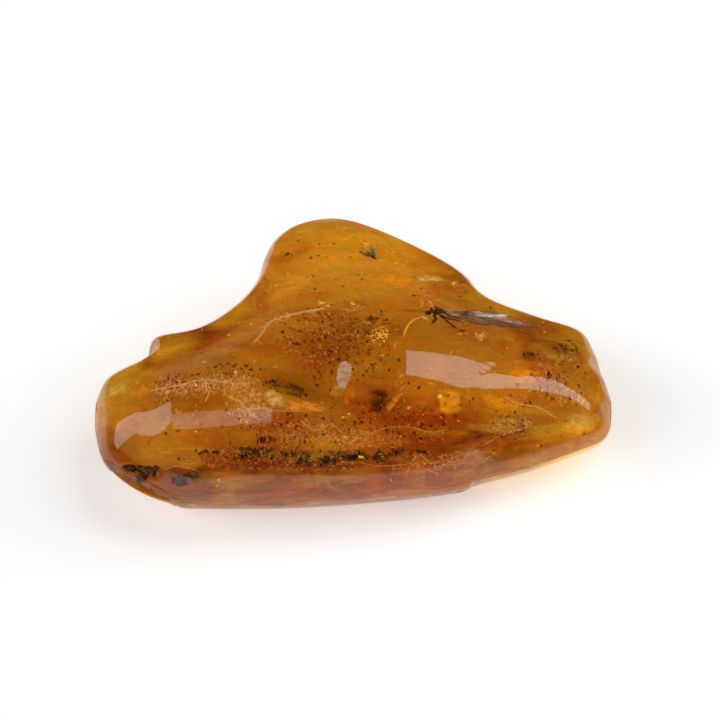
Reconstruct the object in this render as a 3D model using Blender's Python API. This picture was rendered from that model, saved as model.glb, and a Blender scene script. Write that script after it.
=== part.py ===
"""A polished free-form piece of amber, lying on its flat underside, with a winged insect, a gnat and
two clumps of bark crumbs sealed in it.

The amber is one natural solid. It is parted along one sloping plane, so that each sealed piece can
sit in a pocket that opens on that plane. Metres, +Z up. The origin is on the ground under the
middle of the stone: +X is the long way, and +Y goes towards the crown of its outline.
"""

import math
import random

import bmesh
import bpy
import numpy as np
from mathutils import Matrix, Vector

MM = 0.001

# Outline of the stone at its widest level, anticlockwise from the right-hand tip, in millimetres.
OUTLINE = [
    (26.8, -6.0), (26.6, -4.0), (26.1, -2.0), (25.8, -0.2), (24.2, 2.5), (20.2, 4.6), (15.0, 6.9),
    (12.9, 9.0), (10.5, 11.4), (6.4, 14.2), (2.0, 16.4), (-0.8, 17.3), (-3.4, 17.3), (-6.6, 16.3),
    (-8.9, 14.3), (-9.9, 12.0), (-10.7, 8.8), (-12.8, 5.6), (-16.4, 2.7), (-20.6, 1.0),
    (-21.9, -1.1), (-24.4, -2.7), (-26.1, -4.1), (-26.8, -6.4), (-26.6, -9.4), (-25.5, -12.6),
    (-22.6, -15.3), (-18.6, -17.0), (-14.0, -17.3), (-6.0, -17.1), (2.0, -16.4), (7.6, -15.7),
    (11.8, -14.9), (13.0, -14.2), (18.0, -12.7), (22.8, -10.8), (26.1, -8.8),
]
MIDDLE = (-0.7, -5.0)  # every point of the outline can be seen from here, in millimetres

# Section of the stone, in millimetres: a domed top and a flatter underside.
GIRDLE = 6.0  # height of the widest level, over the middle
GIRDLE_SLOPE = (-0.02, 0.03)  # its rise for each millimetre of x and of y
DOME = 9.6  # rise of the top above the girdle
DOME_REACH = 15.0  # distance from the edge over which the dome rises
KEEL = 6.35  # drop of the underside below the girdle
KEEL_REACH = 8.5

# Shallow hollows and swellings of the polished top: x, y, radius and height, in millimetres.
SWELLINGS = [
    (-3.0, 12.0, 6.0, 0.4),
    (-14.0, 1.0, 6.0, -0.8),
    (-20.0, -2.0, 6.0, -0.6),
    (-15.0, -13.0, 6.0, 1.1),
    (-20.0, -12.0, 5.0, 0.6),
    (-5.0, -13.0, 6.0, 0.4),
    (-2.0, -4.5, 3.5, -0.4),
    (17.5, -3.5, 2.6, -0.35),
    (20.0, 1.0, 5.0, -0.3),
    (21.0, -9.0, 5.0, 1.3),
    (12.0, -12.0, 5.0, 0.5),
]

# Flats ground on the top: a point in millimetres, and the rise along x and y.
FLATS = [
    ((-25.0, -9.7, 10.0), (0.72, 0.45)),
]
FLAT_EDGE = 0.12  # how far, in millimetres, the edge of a flat is rubbed round

# The broken corner at the front left: a plane through a point, in millimetres, facing outwards.
BREAK_POINT = (-21.6, -15.6, 3.4)
BREAK_FACING = (-0.48, -0.62, -0.62)

AROUND = 84  # points around the outline
RINGS = 11  # rings of faces from the edge to the middle, above and below

# The plane that parts the stone: its height over the origin and its rise along x and y.
PARTING_HEIGHT = 10.0
PARTING_SLOPE = (-0.09, 0.17)
GAP = 0.3  # between the two parts of the stone

# Where each sealed piece lies in plan, and its lift above the parting plane, in millimetres. The
# turn about its upright, and the dip of its far end, are in degrees.
INSECT_PLACE = (7.5, 1.05)
INSECT_LIFT = 2.3
INSECT_TURN = -3.5
INSECT_DIP = 5.0
GNAT_PLACE = (2.2, 9.3)
GNAT_LIFT = 0.6
GNAT_TURN = 130.0
SEAM_FROM = (-15.2, -13.0)
SEAM_TO = (7.8, -12.1)
CLUMP_PLACE = (15.7, -8.2)
CLUMP_TURN = 4.0

ROD_SIDE = Vector((0.13, 0.21, 1.0))  # no rod runs along this direction, so its rings never twist


def clear_scene():
    for old in list(bpy.data.objects):
        bpy.data.objects.remove(old, do_unlink=True)


def material(name, colour, roughness, metallic=0.0):
    made = bpy.data.materials.new(name)
    made.use_nodes = True
    shader = made.node_tree.nodes["Principled BSDF"]
    shader.inputs["Base Color"].default_value = (*colour, 1.0)
    shader.inputs["Roughness"].default_value = roughness
    shader.inputs["Metallic"].default_value = metallic
    return made


def smooth_loop(points, steps):
    """A closed Catmull-Rom curve through the points, with some steps between each two."""
    p1 = np.array(points, float)
    p0 = np.roll(p1, 1, axis=0)
    p2 = np.roll(p1, -1, axis=0)
    p3 = np.roll(p1, -2, axis=0)
    t = (np.arange(steps) / steps)[:, None, None]
    curve = 0.5 * (
        2 * p1
        + (p2 - p0) * t
        + (2 * p0 - 5 * p1 + 4 * p2 - p3) * t**2
        + (3 * p1 - p0 - 3 * p2 + p3) * t**3
    )
    return curve.transpose(1, 0, 2).reshape(-1, 2)


def even_loop(loop, count):
    """The closed loop again, as this many points an equal way apart."""
    ring = np.vstack([loop, loop[:1]])
    way = np.concatenate([[0.0], np.cumsum(np.linalg.norm(np.diff(ring, axis=0), axis=1))])
    at = np.linspace(0.0, way[-1], count, endpoint=False)
    return np.stack([np.interp(at, way, ring[:, axis]) for axis in (0, 1)], axis=1)


def depth_inside(points, loop):
    """How far each point is inside the loop, eased so that it has no creases down the middle."""
    after = np.roll(loop, -1, axis=0)
    middle = (loop + after) / 2
    length = np.linalg.norm(after - loop, axis=1)
    away = np.linalg.norm(points[:, None, :] - middle[None, :, :], axis=2)
    pull = (length / np.maximum(away, 0.02) ** 3).sum(axis=1)
    return np.sqrt(2.0 / pull)


def rounded(depth, rise, reach):
    """A quarter-round section: rise as a function of the depth inside the edge."""
    return rise * np.sqrt(1.0 - (1.0 - np.minimum(depth / reach, 1.0)) ** 2)


def stone_heights(points, loop):
    """Heights of the top, the underside and the girdle over points in plan, in millimetres."""
    depth = depth_inside(points, loop)
    girdle = GIRDLE + points[:, 0] * GIRDLE_SLOPE[0] + points[:, 1] * GIRDLE_SLOPE[1]
    top = girdle + rounded(depth, DOME, DOME_REACH)
    for x, y, radius, height in SWELLINGS:
        away = ((points[:, 0] - x) ** 2 + (points[:, 1] - y) ** 2) / radius**2
        top += height * np.exp(-away) * np.minimum(depth / 3.0, 1.0)
    for (x, y, z), (rise_x, rise_y) in FLATS:
        flat = z + rise_x * (points[:, 0] - x) + rise_y * (points[:, 1] - y)
        top = -FLAT_EDGE * np.logaddexp(-top / FLAT_EDGE, -flat / FLAT_EDGE)
        top = np.maximum(top, girdle)
    underside = girdle - rounded(depth, KEEL, KEEL_REACH)
    return top, underside, girdle


def stone_shell():
    """The stone as a closed bmesh, before its foot and its broken corner are cut."""
    fine = even_loop(smooth_loop(OUTLINE, 12), 900)
    edge = even_loop(fine, AROUND)
    middle = np.array(MIDDLE)
    shell = bmesh.new()
    girdle = stone_heights(edge, fine)[2]
    rim = [shell.verts.new((x * MM, y * MM, z * MM)) for (x, y), z in zip(edge, girdle)]
    for side in (0, 1):
        outer = rim
        for step in range(1, RINGS):
            plan = middle + (edge - middle) * math.cos(0.5 * math.pi * step / RINGS) ** 0.9
            heights = stone_heights(plan, fine)[side]
            inner = [
                shell.verts.new((x * MM, y * MM, z * MM)) for (x, y), z in zip(plan, heights)
            ]
            for a in range(AROUND):
                b = (a + 1) % AROUND
                shell.faces.new((outer[a], outer[b], inner[b], inner[a]))
            outer = inner
        height = stone_heights(middle[None, :], fine)[side][0]
        tip = shell.verts.new((MIDDLE[0] * MM, MIDDLE[1] * MM, height * MM))
        for a in range(AROUND):
            shell.faces.new((outer[a], outer[(a + 1) % AROUND], tip))
    bmesh.ops.recalc_face_normals(shell, faces=shell.faces)
    return shell


def cut_off(shell, point, facing):
    """Cuts away what lies on the facing side of a plane, and closes the cut with a flat face."""
    cut = bmesh.ops.bisect_plane(
        shell,
        geom=list(shell.verts) + list(shell.edges) + list(shell.faces),
        dist=1e-7,
        plane_co=point,
        plane_no=facing,
        clear_outer=True,
    )
    edges = [item for item in cut["geom_cut"] if isinstance(item, bmesh.types.BMEdge)]
    bmesh.ops.triangle_fill(shell, edges=edges, use_beauty=True)
    bmesh.ops.recalc_face_normals(shell, faces=shell.faces)


def parting_height(x, y):
    """Height of the parting plane over a point in plan, in millimetres."""
    return PARTING_HEIGHT + PARTING_SLOPE[0] * x + PARTING_SLOPE[1] * y


def on_parting(x, y, turn, lift=0.0, dip=0.0):
    """A frame over the parting plane, turned about its own upright, with its +X end dipped."""
    up = Vector((-PARTING_SLOPE[0], -PARTING_SLOPE[1], 1.0)).normalized()
    lie = Vector((0.0, 0.0, 1.0)).rotation_difference(up).to_matrix().to_4x4()
    place = Matrix.Translation(Vector((x, y, parting_height(x, y) + lift)) * MM)
    dipped = Matrix.Rotation(math.radians(dip), 4, "Y")
    return place @ lie @ Matrix.Rotation(math.radians(turn), 4, "Z") @ dipped


def finish(name, shell, finish_material=None):
    """Turns the bmesh into a named object, shaded smooth apart from its sharp edges."""
    mesh = bpy.data.meshes.new(name)
    shell.to_mesh(mesh)
    shell.free()
    if finish_material:
        mesh.materials.append(finish_material)
    mesh.shade_smooth()
    mesh.set_sharp_from_angle(angle=math.radians(40))
    made = bpy.data.objects.new(name, mesh)
    bpy.context.scene.collection.objects.link(made)
    return made


def helper(made):
    """Marks an object as one that only shapes another, so that it isn't a piece of its own."""
    made.hide_render = True
    made.display_type = "WIRE"
    return made


def egg(centre, radii, sides, tilt=0.0):
    """A closed egg-shaped solid in millimetres, its long way along X before it is tilted."""
    shell = bmesh.new()
    bmesh.ops.create_uvsphere(shell, u_segments=sides, v_segments=max(6, sides // 2 + 1), radius=1.0)
    upright = Matrix.Rotation(math.pi / 2, 4, "Y")
    size = Matrix.Diagonal((*[r * MM for r in radii], 1.0))
    turn = Matrix.Rotation(math.radians(tilt), 4, "Z")
    place = Matrix.Translation(Vector(centre) * MM)
    bmesh.ops.transform(shell, matrix=place @ turn @ size @ upright, verts=shell.verts)
    bmesh.ops.recalc_face_normals(shell, faces=shell.faces)
    return shell


def rod(points, radii, sides):
    """A closed rod in millimetres through the points, with a radius at each."""
    spots = [Vector(p) * MM for p in points]
    shell = bmesh.new()
    rings = []
    for i, spot in enumerate(spots):
        along = (spots[min(i + 1, len(spots) - 1)] - spots[max(i - 1, 0)]).normalized()
        across = along.cross(ROD_SIDE).normalized()
        up = across.cross(along)
        ring = []
        for k in range(sides):
            angle = 2 * math.pi * k / sides
            out = across * math.cos(angle) + up * math.sin(angle)
            ring.append(shell.verts.new(spot + out * radii[i] * MM))
        rings.append(ring)
    for low, high in zip(rings, rings[1:]):
        for k in range(sides):
            m = (k + 1) % sides
            shell.faces.new((low[k], low[m], high[m], high[k]))
    shell.faces.new(rings[0])
    shell.faces.new(rings[-1])
    bmesh.ops.recalc_face_normals(shell, faces=shell.faces)
    return shell


def blade(root, tip, widths, thickness, bow):
    """A closed wing blade in millimetres from its root to its tip, with its widths on the way."""
    start = Vector(root)
    way = Vector(tip) - start
    across = Vector((-way.y, way.x, 0.0)).normalized()
    upright = way.normalized().cross(across)
    shell = bmesh.new()
    rings = []
    for i, width in enumerate(widths):
        t = i / (len(widths) - 1)
        spot = start + way * t + across * bow * math.sin(math.pi * t)
        ring = []
        for side, level in ((-0.5, -0.5), (-0.5, 0.5), (0.5, 0.5), (0.5, -0.5)):
            corner = spot + across * side * width + upright * level * thickness
            ring.append(shell.verts.new(corner * MM))
        rings.append(ring)
    for low, high in zip(rings, rings[1:]):
        for k in range(4):
            m = (k + 1) % 4
            shell.faces.new((low[k], low[m], high[m], high[k]))
    shell.faces.new(rings[0])
    shell.faces.new(rings[-1])
    bmesh.ops.recalc_face_normals(shell, faces=shell.faces)
    return shell


def fused(name, shells, frame, finish_material):
    """One body from closed shells that overlap, placed by its frame."""
    first = finish(name, shells[0], finish_material)
    group = bpy.data.collections.new(name + "_members")
    bpy.context.scene.collection.children.link(group)
    group.hide_render = True
    for number, shell in enumerate(shells[1:], 1):
        member = finish(f"{name}_member_{number}", shell, finish_material)
        bpy.context.scene.collection.objects.unlink(member)
        group.objects.link(member)
        helper(member)
        member.matrix_world = frame
    first.matrix_world = frame
    union = first.modifiers.new("fuse", "BOOLEAN")
    union.operation = "UNION"
    union.operand_type = "COLLECTION"
    union.collection = group
    return first


def winged_insect(finish_material):
    """A slender winged insect on its side: head at the origin, wings trailing to +X, legs to -Y."""
    head = egg((0.45, 0.0, 0.0), (0.42, 0.36, 0.34), 12)
    thorax = egg((1.35, 0.1, 0.0), (0.85, 0.66, 0.56), 14, -6)
    abdomen = egg((3.15, 0.0, 0.0), (1.65, 0.58, 0.50), 14, -5)
    shells = [thorax, head, abdomen]
    for lift in (-0.14, 0.16):
        feeler = [(0.3, 0.1), (-0.5, 0.28), (-1.5, 0.12), (-2.5, 0.2)]
        path = [(x, y, lift * (1.0 + 0.5 * i)) for i, (x, y) in enumerate(feeler)]
        shells.append(rod(path, (0.07, 0.065, 0.06, 0.05), 6))
    legs = [
        (0.95, [(0.0, -0.35), (-0.25, -1.0), (0.25, -1.35), (0.1, -1.75)]),
        (1.45, [(0.0, -0.35), (0.45, -1.05), (1.15, -1.55), (1.7, -1.7)]),
        (1.95, [(0.0, -0.30), (0.75, -0.95), (1.35, -1.75), (2.1, -2.15)]),
    ]
    for side in (-1, 1):
        for start, bends in legs:
            lift = 0.22 * side
            path = [
                (start + x, y * (1.0 if side > 0 else 0.86), lift * (1.0 + 0.5 * i))
                for i, (x, y) in enumerate(bends)
            ]
            shells.append(rod(path, (0.13, 0.10, 0.075, 0.06), 6))
    upper_wing = (0.5, 1.0, 1.25, 1.45, 1.5, 1.5, 1.35, 1.1, 0.8, 0.5, 0.2)
    lower_wing = (0.5, 0.9, 1.2, 1.4, 1.45, 1.4, 1.2, 0.9, 0.5)
    shells.append(blade((1.6, 0.30, 0.30), (12.7, 0.05, 0.22), upper_wing, 0.13, 0.2))
    shells.append(blade((1.5, 0.20, 0.04), (10.6, -0.30, -0.06), lower_wing, 0.13, 0.1))
    frame = on_parting(*INSECT_PLACE, INSECT_TURN, INSECT_LIFT, INSECT_DIP)
    return fused("winged_insect", shells, frame, finish_material)


def gnat(finish_material):
    """A small gnat with its two wings spread in a V."""
    wing = (0.15, 0.4, 0.5, 0.5, 0.35, 0.12)
    shells = [
        egg((0.0, 0.0, 0.0), (0.34, 0.24, 0.22), 10),
        egg((-0.36, 0.0, 0.02), (0.16, 0.17, 0.16), 8),
        egg((0.62, 0.0, -0.02), (0.52, 0.16, 0.15), 10),
        blade((0.0, 0.1, 0.12), (1.35, 0.75, 0.2), wing, 0.1, 0.04),
        blade((0.0, -0.1, 0.12), (1.35, -0.75, 0.2), wing, 0.1, -0.04),
    ]
    for side in (-1, 1):
        for start, reach in ((-0.15, -0.5), (0.0, 0.1), (0.15, 0.6)):
            path = [
                (start, 0.08 * side, -0.05),
                (start + reach * 0.5, 0.55 * side, -0.16),
                (start + reach, 0.90 * side, -0.24),
            ]
            shells.append(rod(path, (0.06, 0.05, 0.045), 5))
    frame = on_parting(*GNAT_PLACE, GNAT_TURN, GNAT_LIFT)
    return fused("gnat", shells, frame, finish_material)


def bark_seam(finish_material):
    """A flat, lumpy string of bark crumbs along the front of the stone."""
    chance = random.Random(11)
    stations = 30
    sides = 8
    shell = bmesh.new()
    rings = []
    for i in range(stations):
        t = i / (stations - 1)
        x = SEAM_FROM[0] + (SEAM_TO[0] - SEAM_FROM[0]) * t
        y = SEAM_FROM[1] + (SEAM_TO[1] - SEAM_FROM[1]) * t + 0.25 * math.sin(9.0 * t)
        taper = 0.25 + 0.75 * math.sin(math.pi * min(max(t, 0.02), 0.98)) ** 0.5
        ring = []
        for k in range(sides):
            angle = 2 * math.pi * k / sides
            lump = taper * chance.uniform(0.7, 1.15)
            out = Vector((0.0, 0.85 * lump * math.cos(angle), 0.40 * lump * math.sin(angle)))
            spot = Vector((x, y, parting_height(x, y))) + out
            ring.append(shell.verts.new(spot * MM))
        rings.append(ring)
    for low, high in zip(rings, rings[1:]):
        for k in range(sides):
            m = (k + 1) % sides
            shell.faces.new((low[k], low[m], high[m], high[k]))
    shell.faces.new(rings[0])
    shell.faces.new(rings[-1])
    bmesh.ops.recalc_face_normals(shell, faces=shell.faces)
    return finish("bark_seam", shell, finish_material)


def bark_clump(finish_material):
    """A flattened, lumpy clump of red-brown bark crumbs near the right-hand end."""
    chance = random.Random(5)
    shell = bmesh.new()
    bmesh.ops.create_icosphere(shell, subdivisions=3, radius=1.0)
    for vert in shell.verts:
        vert.co *= chance.uniform(0.82, 1.05)
    size = Matrix.Diagonal((2.2 * MM, 1.05 * MM, 0.55 * MM, 1.0))
    bmesh.ops.transform(shell, matrix=on_parting(*CLUMP_PLACE, CLUMP_TURN) @ size, verts=shell.verts)
    bmesh.ops.recalc_face_normals(shell, faces=shell.faces)
    return finish("bark_clump", shell, finish_material)


def pocket(name, frame, low, high, blunt):
    """A rounded box that hollows both parts of the stone, between two corners in millimetres."""
    shell = bmesh.new()
    bmesh.ops.create_cube(shell, size=1.0)
    span = [(b - a) * MM for a, b in zip(low, high)]
    centre = Vector([(a + b) / 2 * MM for a, b in zip(low, high)])
    size = Matrix.Diagonal((*span, 1.0))
    bmesh.ops.transform(shell, matrix=Matrix.Translation(centre) @ size, verts=shell.verts)
    bmesh.ops.bevel(
        shell, geom=list(shell.edges), offset=blunt * MM, segments=2, profile=0.5, affect="EDGES"
    )
    bmesh.ops.recalc_face_normals(shell, faces=shell.faces)
    made = finish(name, shell)
    made.matrix_world = frame
    return helper(made)


def pockets():
    """The hollows of the sealed pieces, each of which reaches down to the parting plane."""
    seam_reach = math.dist(SEAM_FROM, SEAM_TO) / 2 + 0.5
    seam_middle = [(a + b) / 2 for a, b in zip(SEAM_FROM, SEAM_TO)]
    seam_turn = math.degrees(math.atan2(SEAM_TO[1] - SEAM_FROM[1], SEAM_TO[0] - SEAM_FROM[0]))
    insect_frame = on_parting(*INSECT_PLACE, INSECT_TURN, INSECT_LIFT, INSECT_DIP)
    gnat_frame = on_parting(*GNAT_PLACE, GNAT_TURN, GNAT_LIFT)
    seam_frame = on_parting(*seam_middle, seam_turn)
    clump_frame = on_parting(*CLUMP_PLACE, CLUMP_TURN)
    made = [
        pocket("body_pocket", insect_frame, (-2.9, -2.7, -INSECT_LIFT - 0.7), (5.6, 1.4, 1.0), 0.4),
        pocket("wing_pocket", insect_frame, (5.0, -1.4, -INSECT_LIFT - 1.4), (10.1, 1.6, 0.75), 0.3),
        pocket("tip_pocket", insect_frame, (9.4, -1.0, -INSECT_LIFT - 1.7), (13.1, 1.1, 0.65), 0.3),
        pocket("gnat_pocket", gnat_frame, (-1.1, -1.35, -GNAT_LIFT - 0.7), (1.7, 1.35, 0.55), 0.25),
        pocket("seam_pocket", seam_frame, (-seam_reach, -1.6, -0.85), (seam_reach, 1.6, 0.85), 0.4),
        pocket("clump_pocket", clump_frame, (-2.7, -1.5, -0.95), (2.7, 1.5, 0.95), 0.4),
    ]
    group = bpy.data.collections.new("pockets")
    bpy.context.scene.collection.children.link(group)
    group.hide_render = True
    for cutter in made:
        bpy.context.scene.collection.objects.unlink(cutter)
        group.objects.link(cutter)
    return group


def amber_part(name, whole, keep, hollows, finish_material):
    """What lies on one side of the parting plane: keep is 1 for above it and -1 for below."""
    up = Vector((-PARTING_SLOPE[0], -PARTING_SLOPE[1], 1.0)).normalized()
    shell = whole.copy()
    edge = Vector((0.0, 0.0, PARTING_HEIGHT)) + up * (keep * GAP / 2)
    cut_off(shell, edge * MM, up * -keep)
    made = finish(name, shell, finish_material)
    hollow = made.modifiers.new("pockets", "BOOLEAN")
    hollow.operation = "DIFFERENCE"
    hollow.operand_type = "COLLECTION"
    hollow.collection = hollows
    return made


def main():
    clear_scene()
    amber = material("amber", (0.72, 0.33, 0.05), 0.06)
    chitin = material("insect shell", (0.10, 0.045, 0.02), 0.45)
    gnat_shell = material("gnat shell", (0.16, 0.07, 0.02), 0.5)
    dark_bark = material("dark bark", (0.06, 0.035, 0.015), 0.8)
    red_bark = material("red bark", (0.17, 0.05, 0.02), 0.8)
    whole = stone_shell()
    cut_off(whole, (0.0, 0.0, 0.0), (0.0, 0.0, -1.0))
    cut_off(whole, Vector(BREAK_POINT) * MM, BREAK_FACING)
    hollows = pockets()
    amber_part("amber_upper", whole, 1, hollows, amber)
    amber_part("amber_lower", whole, -1, hollows, amber)
    whole.free()
    winged_insect(chitin)
    gnat(gnat_shell)
    bark_seam(dark_bark)
    bark_clump(red_bark)


main()
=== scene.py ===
"""The looks of a polished piece of amber with a winged insect, a gnat and bark crumbs sealed in it.

Lengths are in millimetres until a mesh is made, and each section makes one piece or one group of
like pieces, from the stone inwards.
"""

import itertools
import math
import random

import bpy
import numpy as np
from mathutils import Matrix, Vector, noise
from mathutils.bvhtree import BVHTree


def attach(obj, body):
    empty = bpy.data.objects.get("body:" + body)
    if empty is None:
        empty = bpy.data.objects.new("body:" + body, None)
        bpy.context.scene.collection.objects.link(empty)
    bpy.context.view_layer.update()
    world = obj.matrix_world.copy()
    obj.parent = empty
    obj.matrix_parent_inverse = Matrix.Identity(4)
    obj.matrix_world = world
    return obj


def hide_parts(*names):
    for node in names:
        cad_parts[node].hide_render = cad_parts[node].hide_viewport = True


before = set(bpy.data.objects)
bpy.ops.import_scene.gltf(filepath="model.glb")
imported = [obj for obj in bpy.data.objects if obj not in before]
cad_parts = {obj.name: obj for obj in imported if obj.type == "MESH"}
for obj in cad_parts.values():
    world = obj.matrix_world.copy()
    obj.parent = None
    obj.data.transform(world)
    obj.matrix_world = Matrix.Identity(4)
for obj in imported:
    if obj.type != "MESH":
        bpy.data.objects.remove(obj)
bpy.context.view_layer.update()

# ---------------------------------------------------------------------------------------------
# Camera, table and lamps. The stone lies on a white sweep that glows a little, as a lit table
# does, so that light comes up through it. Three long softboxes hang round it: to the left, in
# front and to the right.

MM = 0.001
PICTURE = 720  # pixels along a side of the image
LENS = 100.0
SENSOR = 36.0
CAMERA_RISE = math.radians(55.0)  # of its line of sight over the table
CAMERA_AIM = Vector((0.85, 0.3, 6.0))
CAMERA_AWAY = 213.7
BOUNCES = 12  # enough for light to cross the stone and what lies in it
EYE_WAY = Vector((0.0, -math.cos(CAMERA_RISE), math.sin(CAMERA_RISE)))
EYE = CAMERA_AIM + EYE_WAY * CAMERA_AWAY

lens = bpy.data.cameras.new("camera")
lens.lens = LENS
lens.sensor_width = SENSOR
lens.clip_start = 0.01
camera = bpy.data.objects.new("camera", lens)
camera.location = EYE * MM
camera.rotation_euler = (-EYE_WAY).to_track_quat("-Z", "Y").to_euler()
bpy.context.scene.collection.objects.link(camera)
bpy.context.scene.camera = camera
bpy.context.scene.view_settings.view_transform = "Standard"
bpy.context.scene.cycles.max_bounces = BOUNCES
bpy.context.scene.cycles.transmission_bounces = BOUNCES
bpy.context.scene.cycles.transparent_max_bounces = 2 * BOUNCES

SWEEP_FLAT = 1100.0  # radius of the flat of the table
SWEEP_BEND = 120.0  # radius of the bend that lifts its edge into a low wall
SWEEP_DROP = 0.04  # how far it lies under the stone's foot
SWEEP_RINGS = (0.05, 0.3, 1.0)  # rings of points on the flat, as shares of its radius
SWEEP_SIDES = 96  # points round each ring
SWEEP_STEPS = 12  # rings over the bend
SWEEP_GLOW = 0.53  # of the lit middle of the table
SWEEP_DIM = 0.08  # share of the glow, and of the paper's white, that is left far from the stone; the darker white is a painted falloff of light
SWEEP_LIT = (72.0, 115.0)  # it falls to that between these radii
SWEEP_PAINTED_SHADOW = ((3.0, -1.5, 0.0), (44.0, 15.0, 9.0))  # a painted shadow round the stone, where the glow is dimmed: middle, half-lengths
SWEEP_SHADE = 0.45  # share of the glow that is missing there


def band_faces(rings, around, start=0):
    """The four-sided faces between closed rings of points, each ring after the one before it."""
    faces = []
    for ring in range(rings - 1):
        low = start + ring * around
        high = low + around
        for k in range(around):
            m = (k + 1) % around
            faces.append((low + k, low + m, high + m, high + k))
    return faces


def turned_over(faces):
    """The same four-sided faces, seen from their other side."""
    return [(a, d, c, b) for a, b, c, d in faces]


def sweep_mesh():
    """A round table whose edge bends up all round, from its middle outwards."""
    rings = [(SWEEP_FLAT * share, 0.0) for share in SWEEP_RINGS]
    for step in range(1, SWEEP_STEPS + 1):
        angle = 0.5 * math.pi * step / SWEEP_STEPS
        rise = SWEEP_BEND * (1.0 - math.cos(angle))
        rings.append((SWEEP_FLAT + SWEEP_BEND * math.sin(angle), rise))
    points = [(0.0, 0.0, -SWEEP_DROP * MM)]
    for radius, rise in rings:
        for k in range(SWEEP_SIDES):
            angle = 2 * math.pi * k / SWEEP_SIDES
            x, y = radius * math.cos(angle), radius * math.sin(angle)
            points.append((x * MM, y * MM, (rise - SWEEP_DROP) * MM))
    faces = [(0, 1 + k, 1 + (k + 1) % SWEEP_SIDES) for k in range(SWEEP_SIDES)]
    faces += turned_over(band_faces(len(rings), SWEEP_SIDES, 1))
    mesh = bpy.data.meshes.new("table")
    mesh.from_pydata(points, [], faces)
    mesh.shade_smooth()
    return mesh


NEAR_WHOLE = 0.25  # a spot's effect is whole up to this share of its reach


class Wire:
    """One output in a material's nodes: sums on it add Math nodes, and node() adds any other."""

    def __init__(self, tree, socket=None):
        self.tree = tree
        self.socket = socket

    def node(self, kind, settings=None, takes=None, gives=0):
        """Adds a node, sets it up, then fills its sockets with values or wires."""
        made = self.tree.nodes.new("ShaderNode" + kind)
        for name, value in (settings or {}).items():
            setattr(made, name, value)
        for name, value in (takes or {}).items():
            if isinstance(value, Wire):
                self.tree.links.new(value.socket, made.inputs[name])
            else:
                made.inputs[name].default_value = value
        return Wire(self.tree, made.outputs[gives])

    def math(self, operation, first, second):
        """A Math node over two numbers or wires."""
        return self.node("Math", {"operation": operation}, {0: first, 1: second})

    def __add__(self, other):
        return self.math("ADD", self, other)

    def __radd__(self, other):
        return self.math("ADD", other, self)

    def __sub__(self, other):
        return self.math("SUBTRACT", self, other)

    def __rsub__(self, other):
        return self.math("SUBTRACT", other, self)

    def __mul__(self, other):
        return self.math("MULTIPLY", self, other)

    def __rmul__(self, other):
        return self.math("MULTIPLY", other, self)

    def eased(self, low, high):
        """0 up to low and 1 from high, with a smooth rise between them."""
        return self.node(
            "MapRange",
            {"interpolation_type": "SMOOTHSTEP"},
            {"Value": self, "From Min": low, "From Max": high},
        )

    def tint(self, low, high):
        """The colour low where this is 0 and the colour high where it is 1."""
        low = (*low, 1.0) if isinstance(low, tuple) else low
        high = (*high, 1.0) if isinstance(high, tuple) else high
        return self.node("Mix", {"data_type": "RGBA"}, {0: self, 6: low, 7: high}, gives=2)

    def grain(self, scale, detail=2.0, stretch=(1.0, 1.0, 1.0), rough=0.5):
        """Noise at this place, from 0 to 1, with so many waves a millimetre along each axis."""
        size = tuple(scale * way for way in stretch)
        spot = self.node("VectorMath", {"operation": "MULTIPLY"}, {0: self, 1: size})
        takes = {"Vector": spot, "Scale": 1.0, "Detail": detail, "Roughness": rough}
        return self.node("TexNoise", None, takes)

    def near(self, spot, reach):
        """1 at a spot, easing to 0 at an ellipsoid about it with these half-lengths."""
        moved = self.node("VectorMath", {"operation": "SUBTRACT"}, {0: self, 1: spot})
        scaled = self.node("VectorMath", {"operation": "DIVIDE"}, {0: moved, 1: reach})
        away = self.node("VectorMath", {"operation": "LENGTH"}, {0: scaled}, gives="Value")
        return 1.0 - away.eased(NEAR_WHOLE, 1.0)

    def amount(self, name):
        """The number of this name that each point of the piece carries."""
        return self.node("Attribute", {"attribute_name": name}, gives="Fac")

    def bump(self, height, strength):
        """The normal over ripples of this height in millimetres, given by this wire."""
        takes = {"Height": self, "Distance": height * MM, "Strength": strength}
        return self.node("Bump", None, takes)


def new_finish(name):
    """A material, and a wire that gives the place in millimetres."""
    made = bpy.data.materials.new(name)
    made.use_nodes = True
    corner = Wire(made.node_tree).node("TexCoord", gives="Object")
    place = corner.node("VectorMath", {"operation": "SCALE"}, {0: corner, "Scale": 1.0 / MM})
    return made, place


def fill(made, takes, glow=None, inside=None):
    """Fills the sockets of a material's shader with values or wires, and gives the material back.

    With a glow, the material's own colour also shines with that strength, as painted light.
    """
    shader = made.node_tree.nodes["Principled BSDF"]
    if glow is not None:
        takes = {"Emission Color": takes["Base Color"], "Emission Strength": glow, **takes}
    for name, value in takes.items():
        if isinstance(value, Wire):
            made.node_tree.links.new(value.socket, shader.inputs[name])
        elif isinstance(value, tuple):
            shader.inputs[name].default_value = (*value, 1.0)
        else:
            shader.inputs[name].default_value = value
    if inside is not None:
        output = made.node_tree.nodes["Material Output"]
        made.node_tree.links.new(inside.socket, output.inputs["Volume"])
    return made


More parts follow.
